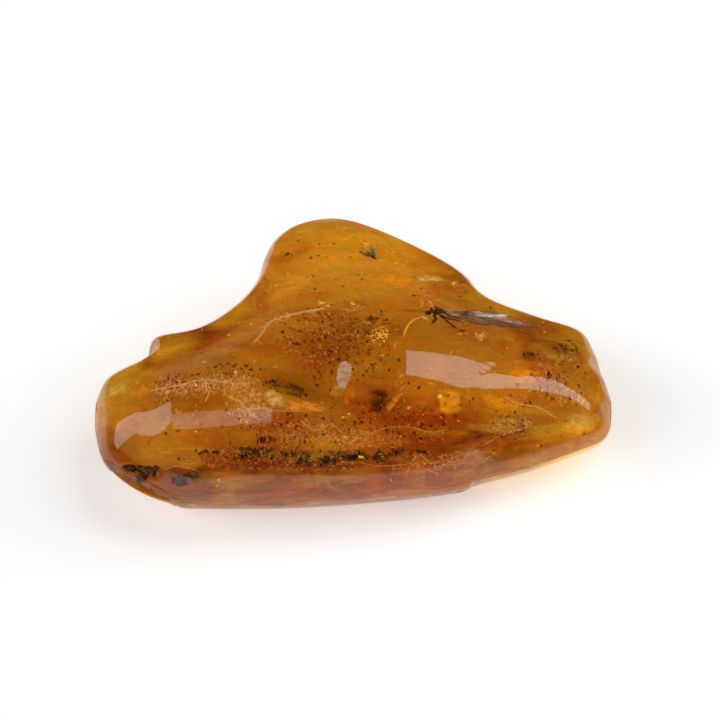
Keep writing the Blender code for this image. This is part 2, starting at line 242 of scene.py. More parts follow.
def paper_finish():
    """White paper, lit from below in the middle of the table, with a painted shadow round the stone and
    its white painted darker far from it.
    """
    made, place = new_finish("white_paper")
    away = place.node("VectorMath", {"operation": "LENGTH"}, {0: place}, gives="Value")
    lit = 1.0 - away.eased(*SWEEP_LIT) * (1.0 - SWEEP_DIM)
    # A painted shadow: the table's glow is dimmed round the stone.
    painted_shadow = place.near(*SWEEP_PAINTED_SHADOW)
    glow = (lit - painted_shadow * SWEEP_SHADE).tint((0.0, 0.0, 0.0), (1.0, 1.0, 1.0))
    takes = {
        # The paper's white is painted darker far from the stone, a painted falloff of light.
        "Base Color": lit.tint((0.12, 0.12, 0.12), (0.9, 0.9, 0.9)),
        "Roughness": 0.6,
        "Specular IOR Level": 0.0,
        "Emission Color": glow,
        "Emission Strength": SWEEP_GLOW,
    }
    return fill(made, takes)


table = bpy.data.objects.new("table", sweep_mesh())
table.data.materials.append(paper_finish())
bpy.context.scene.collection.objects.link(table)

ROOM_GREY = (0.02, 0.02, 0.02, 1.0)
room = bpy.data.worlds.new("room")
room.use_nodes = True
room.node_tree.nodes["Background"].inputs["Color"].default_value = ROOM_GREY
bpy.context.scene.world = room

LAMP_AWAY = 0.6  # metres from the stone to each lamp
# Each lamp: the tilts from the upright that it reaches between, its lean towards the back and half
# its width, all in degrees, and its glow.
SOFTBOXES = {
    "left_softbox": ((-84.0, -50.0), 2.0, 14.0, 2.2),
    "front_softbox": ((-50.0, 3.0), -20.0, 11.0, 1.4),
    "right_softbox": ((10.5, 76.0), 17.0, 14.0, 2.9),
}


def softbox(name, tilts, back, half_width, glow):
    """A flat lamp aimed at the stone."""
    tilt = math.radians(sum(tilts) / 2)
    reach = math.radians(abs(tilts[1] - tilts[0]) / 2)
    lean = math.radians(back)
    lamp = bpy.data.lights.new(name, "AREA")
    lamp.shape = "RECTANGLE"
    lamp.size = 2 * LAMP_AWAY * math.tan(reach)
    lamp.size_y = 2 * LAMP_AWAY * math.tan(math.radians(half_width))
    lamp.energy = glow * math.pi * lamp.size * lamp.size_y
    out = Vector((math.sin(tilt), math.sin(lean) * math.cos(tilt), math.cos(lean) * math.cos(tilt)))
    along = Vector(
        (math.cos(tilt), -math.sin(lean) * math.sin(tilt), -math.cos(lean) * math.sin(tilt))
    )
    place = Matrix((along, out.cross(along), out)).transposed().to_4x4()
    place.translation = out * LAMP_AWAY
    made = bpy.data.objects.new(name, lamp)
    made.matrix_world = place
    bpy.context.scene.collection.objects.link(made)


for name, facts in SOFTBOXES.items():
    softbox(name, *facts)


# ---------------------------------------------------------------------------------------------
# The amber: one piece of fossil resin, ground to a smooth free form and polished by hand, with a
# small flat to lie on and one corner left as it broke. It stands for both parted halves.

# Outline at its widest level, anticlockwise from the right-hand tip.
OUTLINE = [
    (27.3, -6.2), (27.1, -4.0), (26.6, -2.0), (26.2, -0.1), (24.7, 2.8), (20.2, 4.6), (15.0, 6.9),
    (13.0, 9.5), (10.6, 11.6), (6.4, 14.2), (2.0, 16.4), (-0.8, 17.3), (-3.4, 17.3), (-6.6, 16.3),
    (-8.9, 14.3), (-9.9, 12.0), (-10.7, 8.8), (-12.8, 5.6), (-16.4, 2.7), (-21.2, 1.4),
    (-21.9, -1.1), (-24.4, -2.7), (-26.1, -4.1), (-26.8, -6.4), (-26.6, -9.4), (-25.5, -12.6),
    (-22.6, -15.3), (-18.6, -17.0), (-14.0, -17.3), (-6.0, -17.1), (2.0, -16.4), (7.6, -15.7),
    (11.8, -14.9), (13.0, -14.2), (18.0, -12.7), (22.8, -10.8), (26.5, -8.9),
]
LOOP_STEPS = 12  # of the smooth curve between two points of the outline
MIDDLE = (-0.7, -5.0)  # where its rings of points close
GIRDLE = 6.0  # height of the widest level
GIRDLE_SLOPE = (-0.02, 0.03)  # its rise along x and y
DOME = 9.6  # rise of the top over it, whole at this depth inside the edge
DOME_REACH = 15.0
KEEL = 6.35  # drop of the underside below it, and the depth where it is whole
KEEL_REACH = 8.5
SHOULDER = 4.1  # height of the tight edge along the back, where the top is nearly a plane
SHOULDER_REACH = 1.55
SHOULDER_TURN = 2.4  # how square the tight edge is
SHOULDER_SLOPE = 0.42
SHOULDER_BLEND = 0.4  # over this height it runs into the dome
SHOULDER_OVER = 0.35  # how far over the dome it may stand
SHOULDER_FADE = 9.0  # depth inside the edge where it is gone
SHOULDER_BACK = (-0.3, 0.6)  # it comes in as the nearest edge turns from the front to the back

# Shallow hollows and swellings of the polished top: x, y, radius and height.
SWELLINGS = [
    (-3.0, 12.0, 6.0, 0.4),
    (-20.0, -2.0, 6.0, -0.2),
    (-10.0, -13.0, 7.0, 1.0),
    (-20.0, -12.0, 5.0, 0.6),
    (-5.0, -13.0, 6.0, 0.4),
    (4.5, -7.5, 6.5, 0.75),
    (17.5, -3.5, 2.6, -0.35),
    (20.0, 1.0, 5.0, -0.3),
    (17.8, -9.6, 3.6, 1.0),
    (16.8, -6.0, 1.8, -0.1),
    (12.0, -12.0, 5.0, 0.5),
]
SWELLING_DEPTH = 3.0  # they are whole from this depth inside the edge

# A roll that the polish left full along the edge: x, y, radius and height, then the depth of its
# crest inside the edge and how far it spreads.
ROLL = (22.5, -8.6, 4.2, 1.6)
ROLL_DEPTH = (2.5, 1.3)

# Bevels that lean back from the edge: the x where each starts and is whole, and its slope at the
# front and at the sides.
BEVELS = [
    (5.0, 17.0, 1.7, 1.15),
    (-14.0, -22.0, 1.5, 1.3),
]
BEVEL_RIM = (0.7, 0.3)  # the steep rim below them: its height, and how far it spreads
BEVEL_BACK = (-0.1, 0.8)  # they go out as the nearest edge turns from the side to the back
BEVEL_LIFT = 8.0  # by rising clear of the top
BEVEL_START = 0.02  # the least share of a bevel, where it is steepest
LEAST = 0.001  # keeps a height above nothing where it is raised to a power

# A crack that reaches the skin: its ends, how far the skin drops along it, and over what distance
# the dip runs out on its right.
CRACK_ENDS = np.array(((12.0, -7.0), (16.9, -3.0)))
CRACK_DROP = 0.3
CRACK_FADE = 1.1
CRACK_RUN_IN = 4.0  # the drop is whole a quarter of the way in from each end

# Flats ground on the top: a point, and the rise along x and y.
FLATS = [
    ((-25.0, -10.5, 10.2), (0.8, 0.45)),
    ((-25.0, -10.5, 10.2), (0.8, 0.1)),
]
FLAT_EDGE = 0.12  # how far the edge of a flat is rubbed round

# The broken corner at the front left: a plane through a point, facing outwards.
BREAK_POINT = np.array((-24.4, -13.6, 6.0))
BREAK_FACING = np.array((-0.48, -0.81, -0.34)) / math.sqrt(0.48**2 + 0.81**2 + 0.34**2)
BREAK_ROUGH = 0.28  # height of the broken face's ripples
BREAK_WAVES = (0.9, 2.2)  # how many a millimetre: broad ones, and sharp ridges half as high

FOOT_EDGE = 0.1  # how far the edge of the flat foot is rubbed round

# Nicks in the edge: a point, the radius and the depth of each.
NICKS = [
    ((-21.6, -0.6, 7.5), 1.1, 0.35),
    ((-17.8, 2.2, 7.0), 0.9, 0.2),
    ((26.2, -1.4, 7.0), 1.2, 0.45),
    ((12.9, 9.2, 7.5), 0.8, 0.3),
    ((11.4, -15.2, 3.6), 1.0, 0.4),
]

AROUND = 540  # points round the edge
RINGS = (100, 48)  # rings of faces from the edge to the middle, above and below
RING_CROWD = 0.9  # how the rings crowd towards the edge
WAVES = ((0.16, 0.07), (0.45, 0.014))  # of the hand-polished skin: how many a millimetre, height
WAVE_DEPTH = 2.0  # they are whole from this depth inside the edge
EDGE_NEAREST = 0.02  # least way to the edge that counts
EDGE_BATCH = 4000  # points worked out at once


def spline(p0, p1, p2, p3, t):
    """The Catmull-Rom curve from p1 to p2, at the share t of the way."""
    return 0.5 * (
        2 * p1
        + (p2 - p0) * t
        + (2 * p0 - 5 * p1 + 4 * p2 - p3) * t**2
        + (3 * p1 - p0 - 3 * p2 + p3) * t**3
    )


def smooth_loop(points, steps):
    """A closed smooth curve through the points, with some steps between each two."""
    spots = np.array(points, float)
    before, after, beyond = (np.roll(spots, shift, axis=0) for shift in (1, -1, -2))
    curve = spline(before, spots, after, beyond, (np.arange(steps) / steps)[:, None, None])
    return curve.transpose(1, 0, 2).reshape(-1, 2)


def even_loop(loop, count):
    """The closed loop again, as this many points an equal way apart."""
    ring = np.vstack([loop, loop[:1]])
    way = np.concatenate([[0.0], np.cumsum(np.linalg.norm(np.diff(ring, axis=0), axis=1))])
    at = np.linspace(0.0, way[-1], count, endpoint=False)
    return np.stack([np.interp(at, way, ring[:, axis]) for axis in (0, 1)], axis=1)


FINE_LOOP = even_loop(smooth_loop(OUTLINE, LOOP_STEPS), 2 * AROUND)


def edge_pull(points):
    """How far each point is inside the outline, and how much its nearest edge lies at the back.

    Both are eased, so that they have no creases down the middle.
    """
    after = np.roll(FINE_LOOP, -1, axis=0)
    middle = (FINE_LOOP + after) / 2
    length = np.linalg.norm(after - FINE_LOOP, axis=1)
    deep = []
    back = []
    for part in np.array_split(points, max(1, len(points) // EDGE_BATCH)):
        way = middle[None, :, :] - part[:, None, :]
        away = np.maximum(np.linalg.norm(way, axis=2), EDGE_NEAREST)
        pull = length / away**3
        deep.append(np.sqrt(2.0 / pull.sum(axis=1)))
        back.append((pull * way[:, :, 1] / away).sum(axis=1) / pull.sum(axis=1))
    return np.concatenate(deep), np.concatenate(back)


def depth_inside(points):
    """How far each point is inside the outline."""
    return edge_pull(points)[0]


def rounded(depth, rise, reach, turn=2):
    """A rounded section: height as a function of the depth inside the edge, squarer for a high turn."""
    return rise * np.sqrt(1.0 - (1.0 - np.minimum(depth / reach, 1.0)) ** turn)


def smooth_share(share):
    """A share from 0 to 1 again, eased at both ends."""
    return share**2 * (3.0 - 2.0 * share)


def lower_of(first, second, blend):
    """The lower of two surfaces, rounded over this height where they cross."""
    return -blend * np.logaddexp(-first / blend, -second / blend)


def plan_away(points, x, y, radius):
    """The square of each point's way from a spot in plan, in radii."""
    return ((points[:, 0] - x) ** 2 + (points[:, 1] - y) ** 2) / radius**2


def domed(depth, back):
    """Height over the girdle of the dome, with the tight shoulder along its back."""
    dome = rounded(depth, DOME, DOME_REACH)
    slope = SHOULDER_SLOPE * np.clip(depth - SHOULDER_REACH, 0.0, DOME_REACH)
    shoulder = rounded(depth, SHOULDER, SHOULDER_REACH, SHOULDER_TURN) + slope
    shoulder = lower_of(shoulder, dome + SHOULDER_OVER, SHOULDER_BLEND)
    share = np.clip((back - SHOULDER_BACK[0]) / (SHOULDER_BACK[1] - SHOULDER_BACK[0]), 0.0, 1.0)
    share = smooth_share(share) * np.exp(-((depth / SHOULDER_FADE) ** 4))
    return dome + share * (np.maximum(shoulder, 0.0) - dome)


def crack_dip(points):
    """How far the skin drops beside the crack that reaches it."""
    run = CRACK_ENDS[1] - CRACK_ENDS[0]
    along = (points - CRACK_ENDS[0]) @ run / (run @ run)
    across = (points - CRACK_ENDS[0]) @ np.array((run[1], -run[0])) / math.sqrt(run @ run)
    dip = np.clip(CRACK_RUN_IN * along, 0.0, 1.0) * np.clip(CRACK_RUN_IN * (1.0 - along), 0.0, 1.0)
    return CRACK_DROP * dip * (across > 0.0) * np.exp(-np.maximum(across, 0.0) / CRACK_FADE)


def bevelled(height, points, depth, back, bevel):
    """The height over the girdle, cut back by one bevel."""
    start, whole, front_slope, side_slope = bevel
    share = smooth_share(np.clip((points[:, 0] - start) / (whole - start), BEVEL_START, 1.0))
    turned = np.clip(back + 1.0, 0.0, 1.0)
    cut = (front_slope + (side_slope - front_slope) * turned) * depth / share + LEAST
    cut += BEVEL_RIM[0] * (1.0 - np.exp(-depth / BEVEL_RIM[1]))
    cut += BEVEL_LIFT * np.clip((back - BEVEL_BACK[0]) / BEVEL_BACK[1], 0.0, 1.0) ** 2
    return ((np.maximum(height, 0.0) + LEAST) ** -4.0 + cut**-4.0) ** -0.25 - LEAST


def stone_heights(points):
    """Heights of the top, the underside and the girdle over points in plan."""
    depth, back = edge_pull(points)
    girdle = GIRDLE + points[:, 0] * GIRDLE_SLOPE[0] + points[:, 1] * GIRDLE_SLOPE[1]
    top = girdle + domed(depth, back)
    for x, y, radius, height in SWELLINGS:
        whole = np.minimum(depth / SWELLING_DEPTH, 1.0)
        top += height * np.exp(-plan_away(points, x, y, radius)) * whole
    along_edge = ((depth - ROLL_DEPTH[0]) / ROLL_DEPTH[1]) ** 2
    top += ROLL[3] * np.exp(-(plan_away(points, *ROLL[:3]) + along_edge))
    top -= crack_dip(points)
    for bevel in BEVELS:
        top = girdle + bevelled(top - girdle, points, depth, back, bevel)
    top = np.maximum(top, girdle)
    for (x, y, z), (rise_x, rise_y) in FLATS:
        flat = z + rise_x * (points[:, 0] - x) + rise_y * (points[:, 1] - y)
        top = np.maximum(lower_of(top, flat, FLAT_EDGE), girdle)
    underside = girdle - rounded(depth, KEEL, KEEL_REACH)
    return top, underside, girdle


def shrunk(loop, shares):
    """The loop drawn in towards the middle, once for each share."""
    middle = np.array(MIDDLE)
    return (middle + (loop - middle)[None, :, :] * shares[:, None, None]).reshape(-1, 2)


def stone_points():
    """Points of the whole stone, ring by ring, and its faces: first the top, then the underside."""
    edge = even_loop(FINE_LOOP, AROUND)
    middle = np.array([MIDDLE])
    girdle = stone_heights(edge)[2]
    points = [np.column_stack([edge, girdle])]
    faces = []
    count = AROUND
    a = np.arange(AROUND)
    b = (a + 1) % AROUND
    for side, rings in enumerate(RINGS):
        steps = np.cos(0.5 * math.pi * np.arange(1, rings) / rings) ** RING_CROWD
        for plan in (shrunk(edge, steps), middle):
            points.append(np.column_stack([plan, stone_heights(plan)[side]]))
        outer = a
        for ring in range(rings - 1):
            start = count + ring * AROUND
            quads = np.column_stack([outer, outer[b], start + b, start + a])
            faces.extend((quads if side == 0 else quads[:, ::-1]).tolist())
            outer = start + a
        tip = count + (rings - 1) * AROUND
        fan = np.column_stack([outer, outer[b], np.full(AROUND, tip)])
        faces.extend((fan if side == 0 else fan[:, ::-1]).tolist())
        count = tip + 1
    return np.vstack(points), faces


def ripple(spots, scale, seed):
    """Smooth noise between about -1 and 1 at each point."""
    shift = Vector((seed * 7.3, seed * 3.1, seed * 5.7))
    return np.array([noise.noise(Vector(spot) * scale + shift) for spot in spots])


def worn(points):
    """The stone's points with a waved skin, a broken corner, nicks in the edge and a flat foot."""
    depth = depth_inside(points[:, :2])
    skin = np.minimum(depth / WAVE_DEPTH, 1.0) * (points[:, 2] > GIRDLE)
    for number, (scale, height) in enumerate(WAVES):
        points[:, 2] += skin * height * ripple(points, scale, number + 1)
    past = (points - BREAK_POINT) @ BREAK_FACING
    near = past > -BREAK_ROUGH
    rough = np.zeros(len(points))
    broad, sharp = (ripple(points[near], wave, 5 + n) for n, wave in enumerate(BREAK_WAVES))
    rough[near] = broad + 0.5 * np.abs(sharp)
    past = past + BREAK_ROUGH * rough
    points = points - np.outer(np.maximum(past, 0.0), BREAK_FACING)
    for spot, radius, nick in NICKS:
        away = np.linalg.norm(points - np.array(spot), axis=1) / radius
        inward = np.array((*MIDDLE, GIRDLE)) - np.array(spot)
        inward /= np.linalg.norm(inward)
        points += np.outer(nick * np.sqrt(np.maximum(1.0 - away, 0.0)), inward)
    points[:, 2] = FOOT_EDGE * np.logaddexp(points[:, 2] / FOOT_EDGE, 0.0)
    return points


def new_piece(name, points, faces, finish, smooth=40.0):
    """A named mesh from points in millimetres, which rides with the stone."""
    mesh = bpy.data.meshes.new(name)
    mesh.from_pydata([tuple(spot) for spot in (np.asarray(points) * MM).tolist()], [], faces)
    mesh.materials.append(finish)
    if smooth:
        mesh.shade_smooth()
        mesh.set_sharp_from_angle(angle=math.radians(smooth))
    made = bpy.data.objects.new(name, mesh)
    bpy.context.scene.collection.objects.link(made)
    # The stone's skin stops every shadow ray, so the pieces inside it need none of their own.
    made.visible_shadow = name == "amber"
    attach(made, "root")
    return made


AMBER_IOR = 1.54
AMBER_GLOW = (0.9, 0.72, 0.0)  # what the resin lets through
AMBER_DEPTH = 240.0  # how strongly it takes the rest, for each metre
BREAK_BLUR = (-0.55, -0.4)  # millimetres before the broken plane where its roughness starts, is whole
BREAK_COARSE = 14.0  # height of its ripples, in those of the polished skin


def tinted_inside(place, glow, depth):
    """What a clear piece takes from the light that passes through it."""
    return place.node("VolumeAbsorption", None, {"Color": (*glow, 1.0), "Density": depth})


def amber_finish():
    """Clear honey-coloured resin: light loses its blue, then its green, on its way through."""
    made, place = new_finish("polished_amber")
    cloud = place.grain(0.09, 1.0, (0.6, 1.0, 1.0))
    facing = {0: place, 1: tuple(BREAK_FACING)}
    past = place.node("VectorMath", {"operation": "DOT_PRODUCT"}, facing, gives="Value")
    broken = (past - float(BREAK_POINT @ BREAK_FACING)).eased(*BREAK_BLUR)
    skin = cloud.eased(0.35, 0.7).tint((1.0, 0.97, 0.9), (1.0, 0.86, 0.62))
    wear = place.grain(0.8, 1.0)
    coarse = broken * place.grain(1.6, 1.0) * BREAK_COARSE
    ripples = place.grain(0.35, 1.0, (0.7, 1.0, 1.0)) + coarse
    takes = {
        "Base Color": broken.tint(skin, (0.62, 0.58, 0.42)),
        "Roughness": 0.02 + wear * 0.03 + broken * 0.2,
        "IOR": AMBER_IOR,
        "Transmission Weight": 1.0,
        "Normal": ripples.bump(0.012, 0.6),
    }
    return fill(made, takes, inside=tinted_inside(place, AMBER_GLOW, AMBER_DEPTH))


STONE_POINTS, STONE_FACES = stone_points()
STONE_POINTS = worn(STONE_POINTS)
amber = new_piece("amber", STONE_POINTS, STONE_FACES, amber_finish(), 50.0)
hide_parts("amber_upper", "amber_lower")


# ---------------------------------------------------------------------------------------------
# Tinted flows: some of the resin is redder or browner than the rest. Each flow is a soft-edged lens
# inside the stone, placed by where it shows and by how far down it lies.

PIXEL_FOCUS = LENS / SENSOR * PICTURE
EYE_RIGHT = Vector((1.0, 0.0, 0.0))
EYE_UP = Vector((0.0, math.sin(CAMERA_RISE), math.cos(CAMERA_RISE)))
STONE_TREE = BVHTree.FromPolygons([Vector(spot) for spot in STONE_POINTS], STONE_FACES)


def within(pixel_x, pixel_y, share):
    """The point inside the stone that shows at a pixel, this share of the way through it."""
    ray = -EYE_WAY + EYE_RIGHT * ((pixel_x - PICTURE / 2) / PIXEL_FOCUS)
    ray -= EYE_UP * ((pixel_y - PICTURE / 2) / PIXEL_FOCUS)
    ray.normalize()
    entry, facing, _, _ = STONE_TREE.ray_cast(EYE, ray)
    if entry is None:
        return None
    slant = -ray.dot(facing)
    ratio = 1.0 / AMBER_IOR
    bent = ray * ratio + facing * (ratio * slant - math.sqrt(1.0 - ratio**2 * (1.0 - slant**2)))
    leaving = STONE_TREE.ray_cast(entry + bent * 0.02, bent)[0]
    return entry.lerp(leaving, share) if leaving else None


FLOW_RINGS = 9
FLOW_AROUND = 40
FLOW_ROOF = 0.6  # least way from a flow to the skin above it
FLOW_FLOOR = 0.85  # and to the underside below it
FLOW_RAGGED = ((1.3, 0.3), (5.0, 0.22))  # of its edge: waves about the middle, and their share
FLOW_HEAVE = (0.25, 0.5)  # of its level: waves a millimetre, and their height
FLOW_RIM = 0.004  # half its thickness at the edge
FLOW_GIVE = 0.05  # where it meets its roof or floor, its middle stands this far past its edge
PIXELS_ALONG = 9.5  # pixels to a millimetre along the stone
PIXELS_UP = 7.8  # and to a millimetre from front to back

# Each flow: middle in pixels and its share, half-lengths in pixels, turn, thickness.
RED_FLOWS = [
    ((430, 430, 0.45), (56, 26), 0, 2.4),
    ((372, 404, 0.3), (42, 22), 0, 1.5),
    ((315, 352, 0.5), (46, 20), -6, 1.8),
    ((262, 462, 0.45), (86, 15), 3, 2.2),
    ((370, 458, 0.4), (66, 13), 0, 1.6),
    ((300, 425, 0.3), (66, 15), 2, 1.0),
    ((528, 356, 0.3), (11, 9), 0, 1.4),
    ((508, 425, 0.3), (32, 13), -8, 1.0),
    ((330, 312, 0.6), (56, 11), -10, 1.2),
    ((480, 330, 0.6), (52, 12), 10, 1.0),
]
BROWN_FLOWS = [
    ((352, 335, 0.3), (60, 24), -5, 1.6),
    ((298, 386, 0.55), (50, 12), 8, 1.5),
    ((190, 396, 0.5), (66, 13), -6, 0.9),
    ((452, 298, 0.5), (34, 14), 30, 1.0),
    ((566, 352, 0.4), (24, 18), 30, 0.9),
    ((238, 352, 0.5), (46, 14), -22, 0.8),
    ((382, 395, 0.6), (30, 16), 10, 1.2),
    ((150, 470, 0.35), (46, 12), 12, 1.2),
]


def flow_lens(seed, spot, half, turn, thick):
    """Points and faces of one closed lens with a ragged edge that thins out to nothing."""
    centre = within(*spot)
    lean = Matrix.Rotation(-math.radians(turn), 3, "Z")
    (broad, wide), (fine, narrow) = FLOW_RAGGED
    rings = []
    for ring in range(1, FLOW_RINGS + 1):
        share = ring / FLOW_RINGS
        for k in range(FLOW_AROUND):
            angle = math.tau * k / FLOW_AROUND
            way = Vector((math.cos(angle), math.sin(angle), seed * 1.7))
            ragged = 1.0 + wide * noise.noise(way * broad)
            ragged += narrow * share * noise.noise(way * fine)
            out = Vector((half[0] / PIXELS_ALONG * way.x, half[1] / PIXELS_UP * way.y, 0.0))
            rings.append(centre + lean @ (out * (share * ragged)))
    points = [*rings, centre]
    plan = np.array([spot[:2] for spot in points])
    top, under, _ = stone_heights(plan)
    roof = top - FLOW_ROOF
    floor = np.maximum(under, 0.0) + FLOW_FLOOR
    deep = np.append(np.repeat(np.arange(1, FLOW_RINGS + 1) / FLOW_RINGS, FLOW_AROUND), 0.0)
    level = np.column_stack([plan, np.full(len(plan), seed)])
    middle = np.clip(centre.z + FLOW_HEAVE[1] * ripple(level, FLOW_HEAVE[0], seed), floor, roof)
    swell = 0.5 * thick * (1.0 - deep**2) ** 1.4 + FLOW_RIM
    give = FLOW_GIVE * (1.0 - deep)
    upper = np.minimum(middle + swell, roof + FLOW_RIM + give)
    lower = np.maximum(middle - swell, floor - give)
    count = len(points)
    sheets = np.vstack([np.column_stack([plan, upper]), np.column_stack([plan, lower])])
    faces = turned_over(band_faces(FLOW_RINGS, FLOW_AROUND))
    faces += [(k, (k + 1) % FLOW_AROUND, count - 1) for k in range(FLOW_AROUND)]
    faces += [tuple(count + i for i in face[::-1]) for face in faces]
    rim = count - 1 - FLOW_AROUND
    for k in range(FLOW_AROUND):
        m = (k + 1) % FLOW_AROUND
        faces.append((rim + m, rim + k, count + rim + k, count + rim + m))
    return sheets, faces


def flow_finish(name, glow, depth):
    """Resin that bends no light where it meets the rest and only takes more of it."""
    made, place = new_finish(name)
    takes = {"Base Color": (1.0, 1.0, 1.0), "Roughness": 0.0, "IOR": 1.0, "Transmission Weight": 1.0}
    return fill(made, takes, inside=tinted_inside(place, glow, depth))


RED_RESIN = flow_finish("red_resin", (0.72, 0.2, 0.0), 560.0)
BROWN_RESIN = flow_finish("brown_resin", (0.45, 0.25, 0.0), 420.0)
for name, flows, finish in (
    ("red_flow", RED_FLOWS, RED_RESIN),
    ("brown_flow", BROWN_FLOWS, BROWN_RESIN),
):
    for number, flow in enumerate(flows):
        flow_points, flow_faces = flow_lens(number + 1, *flow)
        new_piece(f"{name}_{number + 1}", flow_points, flow_faces, finish)


# ---------------------------------------------------------------------------------------------
# Flow layers: the resin ran out in many coats, each with a dusty, cloudy skin. They lie one over
# another inside the stone, the lowest just inside its underside, and catch the light.

LAYER_AROUND = 270
LAYER_RINGS = 44
LAYER_START = 0.06  # share of a quarter turn at which the outermost ring stands
BED_LIFT = 0.55  # of the lowest layer above the underside
BED_SHARE = 0.4  # but no more than this much of the way up through the stone
LAYER_GAP = 0.12  # between two layers where they lie on the bed
GAP_SHARE = 14  # but no more than one part in so many of the room above it
# Height over the middle, rise along x and y, and least way below the top, of each upper layer.
LAYERS = [
    (2.6, -0.02, 0.03, 1.6),
    (4.4, 0.03, -0.04, 1.4),
    (6.0, -0.03, 0.08, 1.2),
    (7.6, 0.02, 0.10, 1.0),
    (9.2, -0.04, 0.14, 0.9),
    (10.6, -0.03, 0.16, 0.8),
]
LAYER_WAVES = (0.12, 0.8)  # of a layer's level: how many a millimetre, and their height
FADE_REACH = 1.5  # over which a layer thins out where it comes near the skin
FADE_ROOF = 0.5  # under the skin, where it is gone


def layer_plan():
    """Points in plan of a layer from near the edge to the middle, and its faces."""
    steps = np.linspace(LAYER_START, 1.0, LAYER_RINGS)
    shares = np.cos(0.5 * math.pi * steps) ** RING_CROWD
    shares[-1] = 0.01
    last = (LAYER_RINGS - 1) * LAYER_AROUND
    faces = band_faces(LAYER_RINGS, LAYER_AROUND)
    faces.append(tuple(range(last, last + LAYER_AROUND)))
    return shrunk(even_loop(FINE_LOOP, LAYER_AROUND), shares), faces


def set_amount(made, name, amounts):
    """Gives each point of a piece a number that its finish can read."""
    attribute = made.data.attributes.new(name, "FLOAT", "POINT")
    attribute.data.foreach_set("value", np.asarray(amounts, np.float32))


# Where the resin is golden rather than brown: spots and half-lengths in millimetres.
CROWN = ((0.0, 12.5, 9.0), (15.0, 10.0, 20.0))
RIGHT_END = ((21.0, -8.5, 8.0), (11.0, 7.0, 20.0))
GOLDEN = [
    CROWN,
    RIGHT_END,
    ((-24.0, -3.5, 8.0), (7.0, 5.0, 20.0)),
    ((24.0, -1.0, 8.0), (6.0, 6.5, 20.0)),
    ((14.0, 6.5, 8.0), (13.0, 3.5, 20.0)),
    ((-19.0, 0.0, 8.0), (5.0, 3.5, 20.0)),
    ((-11.5, 5.5, 8.0), (6.0, 4.0, 20.0)),
    ((15.5, -10.5, 8.0), (7.0, 4.0, 20.0)),
]


def zone_share(points, spot, reach):
    """For each point, 1 at the spot, easing to 0 at an ellipsoid about it with these half-lengths."""
    away = np.linalg.norm((points - np.array(spot)) / np.array(reach), axis=1)
    return 1.0 - smooth_share(np.clip((away - NEAR_WHOLE) / (1.0 - NEAR_WHOLE), 0.0, 1.0))


def golden_share(points):
    """For each point, 1 in the golden parts of the stone, easing to 0 outside them."""
    return np.max([zone_share(points, *zone) for zone in GOLDEN], axis=0)


def bed_finish():
    """The cloudy lowest coat: honey and red-brown streaks drawn out along the stone, glowing in its own
    colour as painted light that stands in for light coming up through it.
    """
    made, place = new_finish("cloudy_bed")
    rim = place.amount("rim")
    streaks = place.grain(0.42, 5.0, (0.45, 1.0, 1.0), 0.58)
    blotches = place.grain(0.12, 3.0, (0.6, 1.0, 1.0))
    honey = streaks.eased(0.35, 0.65).tint((0.85, 0.5, 0.1), (0.95, 0.72, 0.22))
    rust = streaks.eased(0.4, 0.62).tint((0.58, 0.17, 0.03), (0.88, 0.42, 0.1))
    colour = blotches.eased(0.45, 0.65).tint(honey, rust)
    skin = streaks.eased(0.35, 0.65).tint((0.42, 0.17, 0.025), (0.58, 0.3, 0.05))
    gold = streaks.eased(0.35, 0.65).tint((0.8, 0.5, 0.06), (1.0, 0.78, 0.17))
    golden = place.amount("golden")
    skin = golden.tint(skin, gold)
    colour = rim.tint(golden.tint(colour, gold), skin)
    mottle = place.grain(0.33, 5.0, (0.65, 1.0, 1.0), 0.6)
    shade = mottle.eased(0.38, 0.62).tint((0.76, 0.46, 0.26), (1.3, 1.24, 0.9))
    shade = golden.tint(shade, mottle.eased(0.38, 0.62).tint((0.9, 0.84, 0.7), (1.1, 1.12, 1.1)))
    colour = colour.node("VectorMath", {"operation": "MULTIPLY"}, {0: colour, 1: shade})
    # Painted light: the bed glows in its own colour, as strongly as the lit number of each point says.
    lit = {0: colour, "Scale": place.amount("lit")}
    takes = {
        "Base Color": colour,
        "Emission Color": place.node("VectorMath", {"operation": "SCALE"}, lit),
        "Emission Strength": 0.5,
        "Roughness": 0.7,
        "Specular IOR Level": 0.1,
        "Alpha": 0.1 + 0.85 * rim + 0.4 * streaks.eased(0.5, 0.7),
    }
    return fill(made, takes)


def cloud_finish():
    """Thin drifts of dust and fine bubbles, drawn out along the stone, with clear resin between. They
    glow a little in their own colour, painted light for light scattered inside the stone.
    """
    made, place = new_finish("drifting_cloud")
    fade = place.amount("fade")
    streaks = place.grain(0.5, 6.0, (0.34, 1.0, 1.6), 0.65)
    warm = place.grain(0.2, 2.0, (0.5, 1.0, 1.0))
    colour = warm.eased(0.4, 0.6).tint((1.0, 0.6, 0.07), (0.8, 0.33, 0.03))
    colour = place.amount("golden").tint(colour, (1.0, 0.79, 0.08))
    takes = {
        "Base Color": colour,
        "Roughness": 0.7,
        "Specular IOR Level": 0.1,
        "Alpha": fade * streaks.eased(0.48, 0.72) * 0.6,
    }
    # The faint glow is painted light.
    return fill(made, takes, 0.25)


LAYER_PLAN, LAYER_FACES = layer_plan()
LAYER_TOP, LAYER_UNDER, _ = stone_heights(LAYER_PLAN)
LAYER_FOOT = np.maximum(LAYER_UNDER, 0.0)
BED_LEVEL = LAYER_FOOT + np.minimum(BED_LIFT, BED_SHARE * (LAYER_TOP - LAYER_FOOT))
bed_points = np.column_stack([LAYER_PLAN, BED_LEVEL])
bed = new_piece("resin_bed", bed_points, LAYER_FACES, bed_finish())
bed_golden = golden_share(bed_points)
set_amount(bed, "golden", bed_golden)
